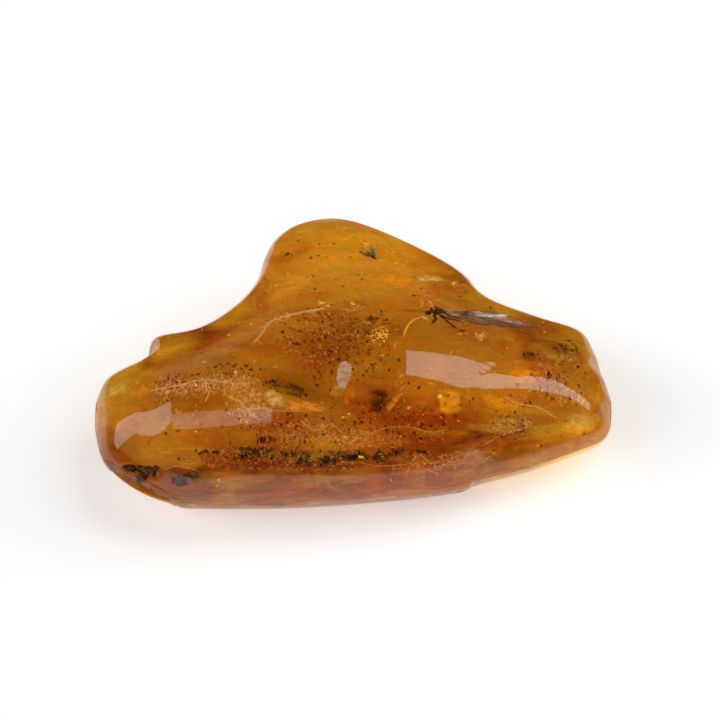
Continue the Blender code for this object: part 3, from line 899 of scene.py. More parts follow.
# How strongly its painted glow shines, standing in for light from below: most under the crown and at
# the right-hand end.
bed_painted_glow = zone_share(bed_points, *CROWN) + zone_share(bed_points, *RIGHT_END)
set_amount(bed, "lit", 0.6 + 0.1 * bed_golden + 0.45 * bed_painted_glow)
BED_RIM = (3.0, 6.5)  # the bed is dense up to the first depth inside the outline, then thins
bed_depth = (depth_inside(LAYER_PLAN) - BED_RIM[0]) / (BED_RIM[1] - BED_RIM[0])
set_amount(bed, "rim", 1.0 - np.clip(bed_depth, 0.0, 1.0))
cloud_points = []
cloud_faces = []
cloud_fade = []
for number, (level, rise_x, rise_y, least) in enumerate(LAYERS):
    height = level + rise_x * LAYER_PLAN[:, 0] + rise_y * (LAYER_PLAN[:, 1] - MIDDLE[1])
    waves = ripple(np.column_stack([LAYER_PLAN, height]), LAYER_WAVES[0], 20 + number)
    height += LAYER_WAVES[1] * waves
    gap = np.minimum(LAYER_GAP, (LAYER_TOP - BED_LEVEL) / GAP_SHARE)
    floor_level = BED_LEVEL + gap * (number + 1)
    roof = LAYER_TOP - least
    held = np.clip(height, floor_level, np.maximum(roof, floor_level))
    cloud_faces.extend([tuple(i + len(cloud_fade) for i in face) for face in LAYER_FACES])
    cloud_points.append(np.column_stack([LAYER_PLAN, held]))
    room_above = (LAYER_TOP - held - FADE_ROOF) / FADE_REACH
    pressed = 1.0 - np.abs(height - held) / FADE_REACH
    cloud_fade.extend(np.clip(np.minimum(room_above, pressed), 0.0, 1.0).tolist())
cloud_points = np.vstack(cloud_points)
clouds = new_piece("resin_clouds", cloud_points, cloud_faces, cloud_finish())
set_amount(clouds, "fade", cloud_fade)
set_amount(clouds, "golden", golden_share(cloud_points))


# ---------------------------------------------------------------------------------------------
# The winged insect: a slender fly-like insect that the resin caught on its side, wings trailing.
# Its shell is thin and brittle, and a film of air along the wing's front edge shines like silver,
# partly by a metallic finish and partly by a painted sheen.

PARTING_HEIGHT = 10.0  # of the sloping plane that the sealed things lie on
PARTING_SLOPE = (-0.09, 0.17)  # its rise along x and y
INSECT_PLACE = (7.25, 1.28)  # of its head
INSECT_LIFT = 2.3  # over that plane
INSECT_TURN = -1.0  # degrees in plan
INSECT_DIP = 5.0  # degrees that its wing tips dip
ROD_SIDE = Vector((0.13, 0.21, 1.0))  # no tube runs along this direction, so its rings never twist


def parting_level(x, y):
    """Height of the sloping plane that the sealed things lie on."""
    return PARTING_HEIGHT + PARTING_SLOPE[0] * x + PARTING_SLOPE[1] * y


def on_parting(x, y, turn, lift=0.0, dip=0.0):
    """A frame over that plane, with its +X end dipped."""
    up = Vector((-PARTING_SLOPE[0], -PARTING_SLOPE[1], 1.0)).normalized()
    lie = Vector((0.0, 0.0, 1.0)).rotation_difference(up).to_matrix().to_4x4()
    level = parting_level(x, y) + lift
    dipped = Matrix.Rotation(math.radians(dip), 4, "Y")
    turned = Matrix.Rotation(math.radians(turn), 4, "Z")
    return Matrix.Translation((x, y, level)) @ lie @ turned @ dipped


def bent_path(points, steps):
    """An open smooth curve through the points, with some steps between each two."""
    spots = [Vector(spot) for spot in points]
    spots = [spots[0] * 2 - spots[1], *spots, spots[-1] * 2 - spots[-2]]
    path = []
    for run in zip(spots, spots[1:], spots[2:], spots[3:]):
        path += [spline(*run, step / steps) for step in range(steps)]
    return [*path, spots[-2]]


def grain_shape():
    """The twelve corners of a grain half a millimetre about its middle, and its twenty faces."""
    gold = 0.5 + 0.5 * math.sqrt(5.0)
    corners = []
    for one in (-0.5, 0.5):
        for two in (-0.5 * gold, 0.5 * gold):
            corners += [(0.0, one, two), (one, two, 0.0), (two, 0.0, one)]
    corners = [Vector(corner) for corner in corners]
    faces = []
    for a, b, c in itertools.combinations(range(len(corners)), 3):
        p, q, r = corners[a], corners[b], corners[c]
        if max((p - q).length, (q - r).length, (r - p).length) < 1.01:
            outward = (q - p).cross(r - p).dot(p) > 0
            faces.append((a, b, c) if outward else (a, c, b))
    return corners, faces


GRAIN_CORNERS, GRAIN_FACES = grain_shape()
GRAIN_RADIUS = 0.5 * math.sqrt(1.0 + (0.5 + 0.5 * math.sqrt(5.0)) ** 2)
CRUMB_JAGGED = (0.55, 1.1)  # how far out a crumb's corners stand, as shares of its size


def spread(values, count):
    """This many values, drawn evenly from a short list of them."""
    last = len(values) - 1
    return np.interp(np.linspace(0, last, count), range(last + 1), values)


class Heap:
    """Shapes in millimetres, gathered into one mesh, each with a tone that the finish can read."""

    def __init__(self, place=None):
        self.place = place or Matrix()
        self.points = []
        self.faces = []
        self.tones = []

    def add(self, points, faces, tone=0.0):
        """Puts one more shape in the heap."""
        start = len(self.points)
        self.points.extend(self.place @ Vector(spot) for spot in points)
        self.faces.extend(tuple(start + i for i in face) for face in faces)
        self.tones.extend([tone] * len(points))

    def tube(self, path, radii, sides=8, flat=1.0, tone=0.0):
        """A closed tube along a path, with a radius at each point, flattened across."""
        spots = [Vector(spot) for spot in path]
        points = []
        for i, spot in enumerate(spots):
            along = (spots[min(i + 1, len(spots) - 1)] - spots[max(i - 1, 0)]).normalized()
            across = along.cross(ROD_SIDE).normalized()
            up = across.cross(along)
            for k in range(sides):
                angle = 2 * math.pi * k / sides
                out = across * math.cos(angle) + up * (flat * math.sin(angle))
                points.append(spot + out * radii[i])
        faces = [tuple(range(sides))[::-1], *band_faces(len(spots), sides)]
        last = (len(spots) - 1) * sides
        faces.append(tuple(range(last, last + sides)))
        self.add(points, faces, tone)

    def blade(self, front, back, thick, rows=10, wave=0.0, tone=0.0):
        """A thin closed wing between a front edge and a back edge, with ribs along it."""
        sheets = []
        for level in (0.5, -0.5):
            for a, b in zip(front, back):
                for row in range(rows + 1):
                    t = row / rows
                    rib = wave * math.sin(2.5 * math.pi * t) * math.sin(math.pi * t)
                    lift = Vector((0.0, 0.0, rib + level * thick * (0.15 + math.sin(math.pi * t))))
                    sheets.append(Vector(a).lerp(Vector(b), t) + lift)
        wide = rows + 1
        count = len(front) * wide
        faces = []
        for i in range(len(front) - 1):
            for row in range(rows):
                a = i * wide + row
                quad = (a, a + 1, a + wide + 1, a + wide)
                faces.append(quad)
                faces.append(tuple(count + c for c in quad[::-1]))
        ring = [i * wide for i in range(len(front))]
        ring += [(len(front) - 1) * wide + row for row in range(1, wide)]
        ring += [i * wide + rows for i in range(len(front) - 2, -1, -1)]
        ring += [row for row in range(rows - 1, 0, -1)]
        for a, b in zip(ring, ring[1:] + ring[:1]):
            faces.append((b, a, count + a, count + b))
        self.add(sheets, faces, tone)

    def crumb(self, chance, centre, size, stretch=(1.0, 1.0, 1.0), tone=0.0):
        """A jagged grain with twenty faces."""
        turn = Matrix.Rotation(chance.uniform(0, math.tau), 3, "Z")
        tip = Matrix.Rotation(chance.uniform(-0.5, 0.5), 3, "X")
        points = []
        for corner in GRAIN_CORNERS:
            spot = corner * (size / GRAIN_RADIUS * chance.uniform(*CRUMB_JAGGED))
            spot = Vector(c * s for c, s in zip(spot, stretch))
            points.append(turn @ (tip @ spot) + Vector(centre))
        self.add(points, GRAIN_FACES, tone)

    def piece(self, name, finish, smooth=40.0):
        """The whole heap as one piece."""
        made = new_piece(name, self.points, self.faces, finish, smooth)
        set_amount(made, "tone", self.tones)
        return made


# Head, chest, tail and belly: the ends of each, its radius, flatness and tone. What is paler than
# half is the ringed tail.
INSECT_BODY = (
    ((0.1, -0.12), (0.85, 0.1), 0.33, 0.9, 0.1),
    ((0.6, 0.42), (2.2, 0.52), 0.66, 0.85, 0.2),
    ((1.8, 0.56), (4.85, 0.24), 0.58, 0.85, 0.9),
    ((2.0, 0.2), (4.5, -0.05), 0.42, 0.8, 0.5),
)
BODY_STEPS = 30
TAIL_RINGS = 8
FEELER = [(0.35, 0.0), (-0.5, 0.12), (-1.4, 0.0), (-2.25, 0.05)]
FEELER_LIFTS = (-0.14, 0.16)
# Each leg: where it leaves the body, then its joints from there.
LEGS = (
    (1.05, [(0.0, -0.15), (0.2, -0.72), (0.15, -0.98), (-0.1, -1.35)]),
    (1.7, [(0.0, -0.2), (0.7, -0.5), (1.35, -0.58), (2.1, -0.72)]),
    (1.7, [(0.0, -0.2), (0.55, -0.8), (1.05, -1.38), (1.55, -1.8)]),
)
LEG_RADII = (0.15, 0.13, 0.1)
LEG_SHAPE = (0.7, 1.1, 1.15, 1.0, 0.85, 0.75, 0.7)  # of the radius, along one length of a leg
BRISTLES = 7  # on each length
BRISTLE_RADII = (0.014, 0.010, 0.004)


def insect_body(heap):
    """Egg-shaped head and chest, and a ringed tail that narrows to its end."""
    for start, end, radius, flat, tone in INSECT_BODY:
        path = []
        radii = []
        for step in range(BODY_STEPS + 1):
            t = step / BODY_STEPS
            bulge = math.sin(math.pi * min(max(t, 0.015), 0.985)) ** (0.6 if tone > 0.5 else 0.7)
            ring = 1.0
            if tone > 0.5:
                bulge *= 1.15 - 0.45 * t
                ring = 1.0 - 0.10 * (0.5 + 0.5 * math.cos(2 * math.pi * TAIL_RINGS * t)) ** 3
            path.append((*(low + (high - low) * t for low, high in zip(start, end)), 0.0))
            radii.append(radius * bulge * ring)
        heap.tube(path, radii, 22, flat, tone)
    for side in (-1, 1):
        eye = [(0.32 + 0.03 * i, -0.04, side * (0.18 + 0.03 * i)) for i in range(5)]
        heap.tube(eye, (0.12, 0.18, 0.19, 0.15, 0.05), 12, 1.0, 0.0)


def leg_length(heap, chance, low, tip, radius):
    """One length of a leg, with its bristles."""
    last = len(LEG_SHAPE) - 1
    path = [low.lerp(tip, t / last) for t in range(last + 1)]
    heap.tube(path, [radius * share for share in LEG_SHAPE], 8, 1.0, 0.08)
    for _ in range(BRISTLES):
        root = low.lerp(tip, chance.uniform(0.2, 0.95))
        way = (tip - low).normalized() * 0.16
        out = Vector((chance.uniform(-1, 1), chance.uniform(-1, 1), 0.3)) * 0.09
        heap.tube([root, root + (way + out) * 0.5, root + way + out], BRISTLE_RADII, 4)


def insect_limbs(heap):
    """Six jointed legs with bristles and beaded feet, and two long feelers."""
    chance = random.Random(3)
    for lift in FEELER_LIFTS:
        path = bent_path([(x, y, lift * (1.0 + 0.5 * i)) for i, (x, y) in enumerate(FEELER)], 14)
        radii = [
            (0.045 - 0.03 * i / len(path)) * (1.0 + 0.22 * math.sin(1.5 * i))
            for i in range(len(path))
        ]
        heap.tube(path, radii, 7, 1.0, 0.4)
    for side in (-1, 1):
        for start, bends in LEGS:
            high = 1.0 if side > 0 else 0.86
            spots = [
                Vector((start + x, y * high, 0.22 * side * (1.0 + 0.5 * i)))
                for i, (x, y) in enumerate(bends)
            ]
            for low, tip, radius in zip(spots, spots[1:], LEG_RADII):
                leg_length(heap, chance, low, tip, radius)
            foot = spots[-1]
            way = (foot - spots[-2]).normalized()
            for bead in range(4):
                low = foot + way * (0.1 * bead)
                bead_path = [low, low + way * 0.05, low + way * 0.1]
                heap.tube(bead_path, (0.02, 0.034, 0.02), 6, 1.0, 0.05)


def wing_edge(root, tip, widths, bow, side):
    """One long edge of a wing: side is 0 for the front edge and 1 for the back one."""
    start = Vector(root)
    way = Vector(tip) - start
    across = Vector((-way.y, way.x, 0.0)).normalized()
    spine = [
        start + way * t + across * (bow * math.sin(math.pi * t))
        for t in [i / (len(widths) - 1) for i in range(len(widths))]
    ]
    share = 0.42 if side == 0 else -0.58
    return bent_path([spot + across * (share * w) for spot, w in zip(spine, widths)], 5)


# Each wing: root, tip, widths from one to the other, how far it bows, and its tone.
WINGS = (
    (
        (1.6, 0.3, 0.30),
        (12.95, 0.35, 0.22),
        (0.15, 0.3, 0.75, 1.5, 1.65, 1.6, 1.4, 1.15, 0.75, 0.3, 0.08),
        0.65,
        0.75,
    ),
    ((1.5, 0.3, 0.04), (10.6, 0.5, -0.06), (0.15, 0.3, 0.8, 1.5, 1.5, 1.3, 1.0, 0.7, 0.3), -0.05, 0.6),
)
VEINS = (0.0, 0.14, 0.3, 0.48, 0.66, 0.84, 1.0)  # shares of the way across, edges included
CROSS_VEINS = ((0.14, 0.3), (0.3, 0.48), (0.48, 0.66))
VEIN_RADII = (0.045, 0.024, 0.018)  # of those along the edges, those between, and the cross ones
VEIN_LIFT = Vector((0.0, 0.0, 0.045))


def insect_wings(heap, veins):
    """Two long wings folded back over each other, with the veins that stiffen them."""
    for root, tip, widths, bow, tone in WINGS:
        front, back = (wing_edge(root, tip, widths, bow, side) for side in (0, 1))
        heap.blade(front, back, 0.07, 12, 0.05, tone)
        last = len(front) - 1
        for share in VEINS:
            along_edge = share in (0.0, 1.0)
            path = []
            for i in range(0, last + 1, 2):
                t = share + (0.5 - share) * 0.25 * math.cos(math.pi * i / last)
                t = share if along_edge else t
                path.append(front[i].lerp(back[i], t) + VEIN_LIFT)
            thick = VEIN_RADII[0] if along_edge else VEIN_RADII[1]
            veins.tube(path, [thick * (1.0 - 0.6 * i / len(path)) for i in range(len(path))], 6)
        for i in range(6, last - 4, 5):
            for low, high in CROSS_VEINS:
                ends = [front[i].lerp(back[i + 1], low), front[i + 1].lerp(back[i], high)]
                veins.tube([spot + VEIN_LIFT for spot in ends], (VEIN_RADII[2],) * 2, 5)


def shell_finish():
    """Brittle brown shell, dark on the head, chest and legs and tan on the tail and wings, glowing a
    little in its own colour as painted light.
    """
    made, place = new_finish("insect_shell")
    tone = place.amount("tone")
    mottle = place.grain(3.0, 4.0, (0.5, 1.0, 1.0))
    dark = mottle.eased(0.3, 0.65).tint((0.02, 0.008, 0.004), (0.22, 0.08, 0.04))
    moss = mottle.eased(0.35, 0.7).tint((0.12, 0.09, 0.03), (0.4, 0.3, 0.12))
    tan = mottle.eased(0.3, 0.65).tint((0.42, 0.22, 0.13), (0.95, 0.58, 0.42))
    colour = tone.eased(0.7, 0.85).tint(tone.eased(0.3, 0.45).tint(dark, moss), tan)
    takes = {
        "Base Color": colour,
        "Roughness": 0.35 + mottle * 0.25,
        "Normal": place.grain(9.0, 3.0).bump(0.03, 0.5),
    }
    # The faint glow is painted light.
    return fill(made, takes, 0.15)


def film_finish():
    """A smoky wing, stained at its root, with a silver film of air along its front edge: a painted
    sheen of pale blue-grey, partly metallic. The whole wing glows a little as painted light.
    """
    made, place = new_finish("wing_membrane")
    ribs = place.grain(1.6, 4.0, (0.35, 1.6, 1.6))
    tone = place.amount("tone")
    # Painted sheen: where the tone is highest the wing turns pale blue-grey and partly metallic.
    painted_sheen = tone.eased(0.85, 0.95)
    smoke = ribs.eased(0.35, 0.7).tint((0.3, 0.15, 0.1), (0.85, 0.5, 0.36))
    colour = painted_sheen.tint(smoke, ribs.eased(0.35, 0.6).tint((0.2, 0.28, 0.32), (0.62, 0.74, 0.82)))
    takes = {
        "Base Color": colour,
        "Metallic": painted_sheen * 0.6,
        "Roughness": 0.4,
        "Alpha": 0.22 + 0.4 * ribs.eased(0.4, 0.6) + 0.5 * painted_sheen,
        "Normal": ribs.bump(0.05, 0.6),
    }
    # The faint glow is painted light.
    return fill(made, takes, 0.14)


# A film of air under the wing's front edge, painted as a silver sheen: its path and its radii.
FILM = [
    (4.7, 1.0, 0.6), (5.7, 0.92, 0.6), (6.7, 0.97, 0.58),
    (7.7, 1.12, 0.55), (8.6, 1.35, 0.5), (9.3, 1.4, 0.46),
]
FILM_RADII = (0.03, 0.05, 0.08, 0.13, 0.1, 0.03)
# Dark stains on the wing, and a foot: path and radii.
STAINS = (
    ([(4.4, 1.1, 0.5), (4.65, 0.95, 0.52), (4.95, 0.85, 0.5)], (0.3, 0.5, 0.35)),
    ([(4.9, -0.4, 0.15), (6.0, -0.45, 0.15), (7.1, -0.3, 0.15)], (0.05, 0.15, 0.05)),
    ([(8.7, 0.5, 0.25), (9.6, 0.5, 0.25), (10.6, 0.52, 0.25)], (0.05, 0.15, 0.05)),
    ([(3.6, -1.95, 0.3), (3.95, -1.98, 0.3), (4.3, -2.0, 0.3)], (0.06, 0.12, 0.05)),
    ([(11.0, 0.62, 0.3), (12.0, 0.4, 0.3), (13.2, 0.0, 0.3)], (0.04, 0.07, 0.02)),
)
INSECT_FRAME = on_parting(*INSECT_PLACE, INSECT_TURN, INSECT_LIFT, INSECT_DIP)
insect_heap = Heap(INSECT_FRAME)
wing_heap = Heap(INSECT_FRAME)
insect_body(insect_heap)
insect_limbs(insect_heap)
insect_wings(wing_heap, insect_heap)
for path, radii in STAINS:
    insect_heap.tube(path, radii, 12, 0.3, 0.0)
film_path = bent_path(FILM, 6)
wing_heap.tube(film_path, spread(FILM_RADII, len(film_path)), 10, 0.3, 1.0)
SHELL = shell_finish()
insect = insect_heap.piece("winged_insect_body", SHELL)
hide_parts("winged_insect")
wing_heap.piece("insect_wings", film_finish())


# ---------------------------------------------------------------------------------------------
# The gnat: a much smaller fly under the crown, its wings spread in a V behind it. It has the same
# brown shell as the larger insect.

GNAT_PLACE = (2.2, 9.3)  # of its chest
GNAT_LIFT = 0.6
GNAT_TURN = 130.0
# Head, chest and tail: where each starts and ends, its radius and its tone.
GNAT_BODY = ((-0.5, -0.2, 0.16, 0.1), (-0.3, 0.32, 0.24, 0.3), (0.2, 1.12, 0.16, 0.7))
GNAT_STEPS = 14
GNAT_LEGS = ((-0.15, -0.5), (0.0, 0.1), (0.15, 0.6))  # where each leaves the body, and its reach
GNAT_WING = (0.12, 0.36, 0.5, 0.52, 0.42, 0.12)  # widths from root to tip


def gnat_shapes(heap):
    """Head, chest, ringed tail, six legs and two wings."""
    for start, end, radius, tone in GNAT_BODY:
        path = []
        radii = []
        for step in range(GNAT_STEPS + 1):
            t = step / GNAT_STEPS
            path.append((start + (end - start) * t, 0.0, 0.02))
            ring = 1.0 - 0.12 * (step % 3 == 0)
            radii.append(radius * math.sin(math.pi * min(max(t, 0.03), 0.97)) ** 0.7 * ring)
        heap.tube(path, radii, 14, 0.9, tone)
    for side in (-1, 1):
        for start, reach in GNAT_LEGS:
            bends = [
                (start, 0.08 * side, -0.05),
                (start + reach * 0.5, 0.55 * side, -0.16),
                (start + reach, 0.90 * side, -0.24),
            ]
            path = bent_path(bends, 4)
            heap.tube(path, [0.035 - 0.02 * i / len(path) for i in range(len(path))], 6)
        feeler = [(-0.45, 0.05 * side, 0.05), (-0.62, 0.14 * side, 0.08), (-0.8, 0.16 * side, 0.06)]
        heap.tube(feeler, (0.02, 0.018, 0.012), 5)
        wing = ((0.0, 0.1 * side, 0.12), (1.35, 0.75 * side, 0.2), GNAT_WING, 0.04 * side)
        heap.blade(wing_edge(*wing, 0), wing_edge(*wing, 1), 0.03, 6, 0.02, 0.5)


gnat_heap = Heap(on_parting(*GNAT_PLACE, GNAT_TURN, GNAT_LIFT))
gnat_shapes(gnat_heap)
gnat = gnat_heap.piece("gnat_body", SHELL)
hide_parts("gnat")


# ---------------------------------------------------------------------------------------------
# The bark seam: crumbs of rotten bark that washed along one flow of resin, near the front. They
# stay loose in the resin, mostly black, with some red-brown and tan splinters.

SEAM_FROM = (-15.2, -13.0)  # its two ends
SEAM_TO = (7.8, -12.1)
SEAM_GRAINS = 1500
SEAM_HALF = (0.8, 0.4)  # across and thick
SEAM_CLOTS = 46
SEAM_GROUPS = ((0.28, 0.12), (0.52, 0.06), (0.75, 0.12))  # where the clots gather along it, and how far
SEAM_SIZES = (0.05, 0.07, 0.09, 0.12, 0.17)
SEAM_WAVE = (9.0, 0.25)  # it snakes a little from front to back


def bark_finish(name, dark, light):
    """Crumbled bark: matt, with painted shade in its pits, where the bump is lowest, and each crumb
    with its own tone. It glows a little in its own colour, painted light.
    """
    made, place = new_finish(name)
    tone = place.amount("tone")
    pits_and_shade = place.grain(6.0, 4.0)
    # Painted shade: the colour darkens where the noise that also raises the bump is low, in the pits.
    colour = (tone + pits_and_shade * 0.5 - 0.25).eased(0.0, 1.0).tint(dark, light)
    takes = {
        "Base Color": colour,
        "Roughness": 0.6 + pits_and_shade * 0.3,
        "Specular IOR Level": 0.2,
        "Normal": pits_and_shade.bump(0.05, 0.8),
    }
    # The faint glow is painted light.
    return fill(made, takes, 0.2)


def seam_grains(heap):
    """Four crumbs in five lie in clots, and the rest anywhere along the seam."""
    chance = random.Random(11)
    clots = []
    for _ in range(SEAM_CLOTS):
        along = chance.choice([chance.gauss(*group) for group in SEAM_GROUPS])
        clots.append((along, chance.uniform(-0.7, 0.7), chance.uniform(-0.1, 0.3)))
    for number in range(SEAM_GRAINS):
        if number % 5:
            along, side, shade = clots[number % len(clots)]
            along += chance.gauss(0.0, 0.010)
            side += chance.gauss(0.0, 0.28)
        else:
            along, side, shade = chance.random(), chance.uniform(-1.0, 1.0), 0.55
        along = min(max(along, 0.0), 1.0)
        side = min(max(side, -1.0), 1.0)
        taper = 0.3 + 0.7 * math.sin(math.pi * along) ** 0.5
        x, y = (low + (high - low) * along for low, high in zip(SEAM_FROM, SEAM_TO))
        y += SEAM_WAVE[1] * math.sin(SEAM_WAVE[0] * along)
        y += side * SEAM_HALF[0] * taper * 0.85
        lift = chance.uniform(-1.0, 1.0) * SEAM_HALF[1] * taper * 0.8
        level = parting_level(x, y) + lift
        size = chance.choice(SEAM_SIZES)
        stretch = (chance.uniform(0.8, 2.2), 1.0, chance.uniform(0.5, 1.0))
        tone = shade + chance.uniform(-0.1, 0.35)
        heap.crumb(chance, (x, y, level), size, stretch, tone)


seam_heap = Heap()
seam_grains(seam_heap)
DARK_BARK = bark_finish("dark_bark", (0.035, 0.014, 0.006), (0.62, 0.27, 0.1))
seam = seam_heap.piece("bark_seam_crumbs", DARK_BARK, 0)
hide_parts("bark_seam")


# ---------------------------------------------------------------------------------------------
# The bark clump: a handful of red-brown crumbs that stuck together, towards the right-hand end.
# They lie more thickly towards its skin.

CLUMP_PLACE = (15.7, -8.2)
CLUMP_TURN = 4.0
CLUMP_GRAINS = 420
CLUMP_HALF = (2.0, 0.95, 0.42)  # half-lengths of the whole clump
CLUMP_SIZES = (0.06, 0.08, 0.11, 0.16)


def clump_grains(heap):
    """Crumbs strewn through an egg shape."""
    chance = random.Random(5)
    for _ in range(CLUMP_GRAINS):
        way = Vector((chance.gauss(0, 1), chance.gauss(0, 1), chance.gauss(0, 1))).normalized()
        out = chance.uniform(0.2, 1.0) ** 0.5
        spot = [w * out * half for w, half in zip(way, CLUMP_HALF)]
        size = chance.choice(CLUMP_SIZES)
        heap.crumb(chance, spot, size, (chance.uniform(0.8, 1.8), 1.0, 0.8), chance.random())


clump_heap = Heap(on_parting(*CLUMP_PLACE, CLUMP_TURN))
clump_grains(clump_heap)
RED_BARK = bark_finish("red_bark", (0.18, 0.05, 0.014), (0.85, 0.38, 0.17))
clump = clump_heap.piece("bark_clump_crumbs", RED_BARK, 0)
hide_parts("bark_clump")


# ---------------------------------------------------------------------------------------------
# Loose crumbs: bark dust that the resin carried, in drifts and clots through the whole stone. Each
# drift is placed by where it shows, and by how far down it lies between the skin and underside.

def scattered(chance, patch, count):
    """Points inside the stone, strewn through an oval of the view."""
    middle_x, middle_y, half_x, half_y, turn, near, far = patch
    lean = math.radians(turn)
    for _ in range(count):
        reach, angle = chance.random() ** 0.6, chance.uniform(0, math.tau)
        u, v = reach * half_x * math.cos(angle), reach * half_y * math.sin(angle)
        pixel_x = middle_x + u * math.cos(lean) - v * math.sin(lean)
        pixel_y = middle_y + u * math.sin(lean) + v * math.cos(lean)
        spot = within(pixel_x, pixel_y, chance.uniform(near, far))
        if spot is not None:
            yield spot


def drift(heap, chance, patch, count, sizes, tones, long=1.6):
    """Loose crumbs strewn through an oval."""
    for spot in scattered(chance, patch, count):
        stretch = (chance.uniform(0.7, long), 1.0, chance.uniform(0.4, 0.9))
        heap.crumb(chance, spot, chance.choice(sizes), stretch, chance.choice(tones))


def curls(heap, chance, patch, count, reach, width):
    """Short bent hairs strewn through an oval."""
    for root in scattered(chance, patch, count):
        way = Vector((chance.uniform(-1, 1), chance.uniform(-1, 1), chance.uniform(-0.3, 0.3)))
        length = reach * chance.uniform(0.5, 1.3)
        bow = Vector((-way.y, way.x, 0.0)) * chance.uniform(-0.4, 0.4)
        path = [root, root + (way * 0.5 + bow) * length, root + way * length]
        heap.tube(path, (width, width * 0.8, width * 0.3), 5, 0.3, chance.random())


# Each drift: middle and half-lengths in pixels, turn, nearest and furthest share, and how many. The
# clots are small ones, so thick that their crumbs touch.
DARK_CLOTS = [
    ((130, 468, 9, 3, 5, 0.06, 0.2), 60),
    ((146, 471, 10, 5, 15, 0.06, 0.25), 120),
    ((142, 478, 6, 4, -20, 0.06, 0.25), 60),
    ((156, 468, 4, 2, -10, 0.06, 0.2), 14),
    ((190, 475, 11, 3, -8, 0.06, 0.2), 60),
    ((180, 482, 8, 4, 10, 0.06, 0.25), 100),
    ((196, 478, 4, 3, 30, 0.06, 0.25), 20),
    ((216, 452, 4, 1, 10, 0.1, 0.2), 6),
]
DARK_DRIFTS = [
    ((372, 320, 5, 4, 0, 0.3, 0.4), 60),
    ((378, 400, 12, 15, 20, 0.35, 0.5), 60),
    ((285, 388, 25, 6, 15, 0.3, 0.45), 160),
    ((566, 350, 13, 10, 20, 0.2, 0.4), 90),
    ((528, 355, 5, 4, 0, 0.2, 0.35), 36),
    ((463, 284, 5, 5, 40, 0.2, 0.35), 24),
    ((320, 400, 120, 60, 5, 0.2, 0.7), 170),
    ((330, 260, 60, 35, 20, 0.1, 0.6), 70),
    ((180, 430, 70, 40, -5, 0.1, 0.5), 70),
    ((520, 400, 80, 50, 10, 0.1, 0.6), 110),
    ((286, 254, 6, 3, 0, 0.1, 0.2), 12),
    ((314, 257, 6, 3, 0, 0.1, 0.2), 10),
    ((350, 350, 50, 30, -30, 0.2, 0.6), 110),
    ((350, 457, 75, 6, 2, 0.25, 0.45), 300),
]
RED_DRIFTS = [
    ((298, 430, 52, 18, 4, 0.2, 0.5), 280),
    ((400, 425, 50, 22, 0, 0.3, 0.6), 220),
    ((330, 325, 60, 22, -12, 0.2, 0.5), 260),
    ((345, 355, 45, 28, -10, 0.3, 0.6), 200),
    ((210, 376, 56, 11, -8, 0.15, 0.35), 200),
    ((510, 425, 26, 12, -10, 0.15, 0.3), 120),
    ((560, 375, 30, 26, 30, 0.2, 0.5), 110),
    ((270, 460, 90, 12, 2, 0.2, 0.4), 420),
    ((450, 300, 60, 16, 20, 0.2, 0.5), 60),
]

# Sizes and tones of the crumbs in each.
CLOT_CRUMBS = ((0.08, 0.12, 0.18, 0.25), (0.0, 0.2, 0.4))
DARK_CRUMBS = ((0.04, 0.05, 0.07, 0.1, 0.15), (0.0, 0.1, 0.2, 0.4, 0.6))
RED_CRUMBS = ((0.07, 0.1, 0.14, 0.2), (0.0, 0.3, 0.5, 0.8, 1.0))

dust_heap = Heap()
dust_chance = random.Random(21)
for drifts, crumbs in ((DARK_CLOTS, CLOT_CRUMBS), (DARK_DRIFTS, DARK_CRUMBS)):
    for patch, count in drifts:
        drift(dust_heap, dust_chance, patch, count, *crumbs)
dust_heap.piece("bark_dust", DARK_BARK, 0)
crumb_heap = Heap()
crumb_chance = random.Random(22)
for patch, count in RED_DRIFTS:
    drift(crumb_heap, crumb_chance, patch, count, *RED_CRUMBS)
crumb_heap.piece("bark_crumbs", RED_BARK, 0)


# ---------------------------------------------------------------------------------------------
# Cracks and seams: where two flows of resin met or the stone was strained, thin ragged sheets hold
# air. They show as pale pinkish threads, veils and crumbs of light.

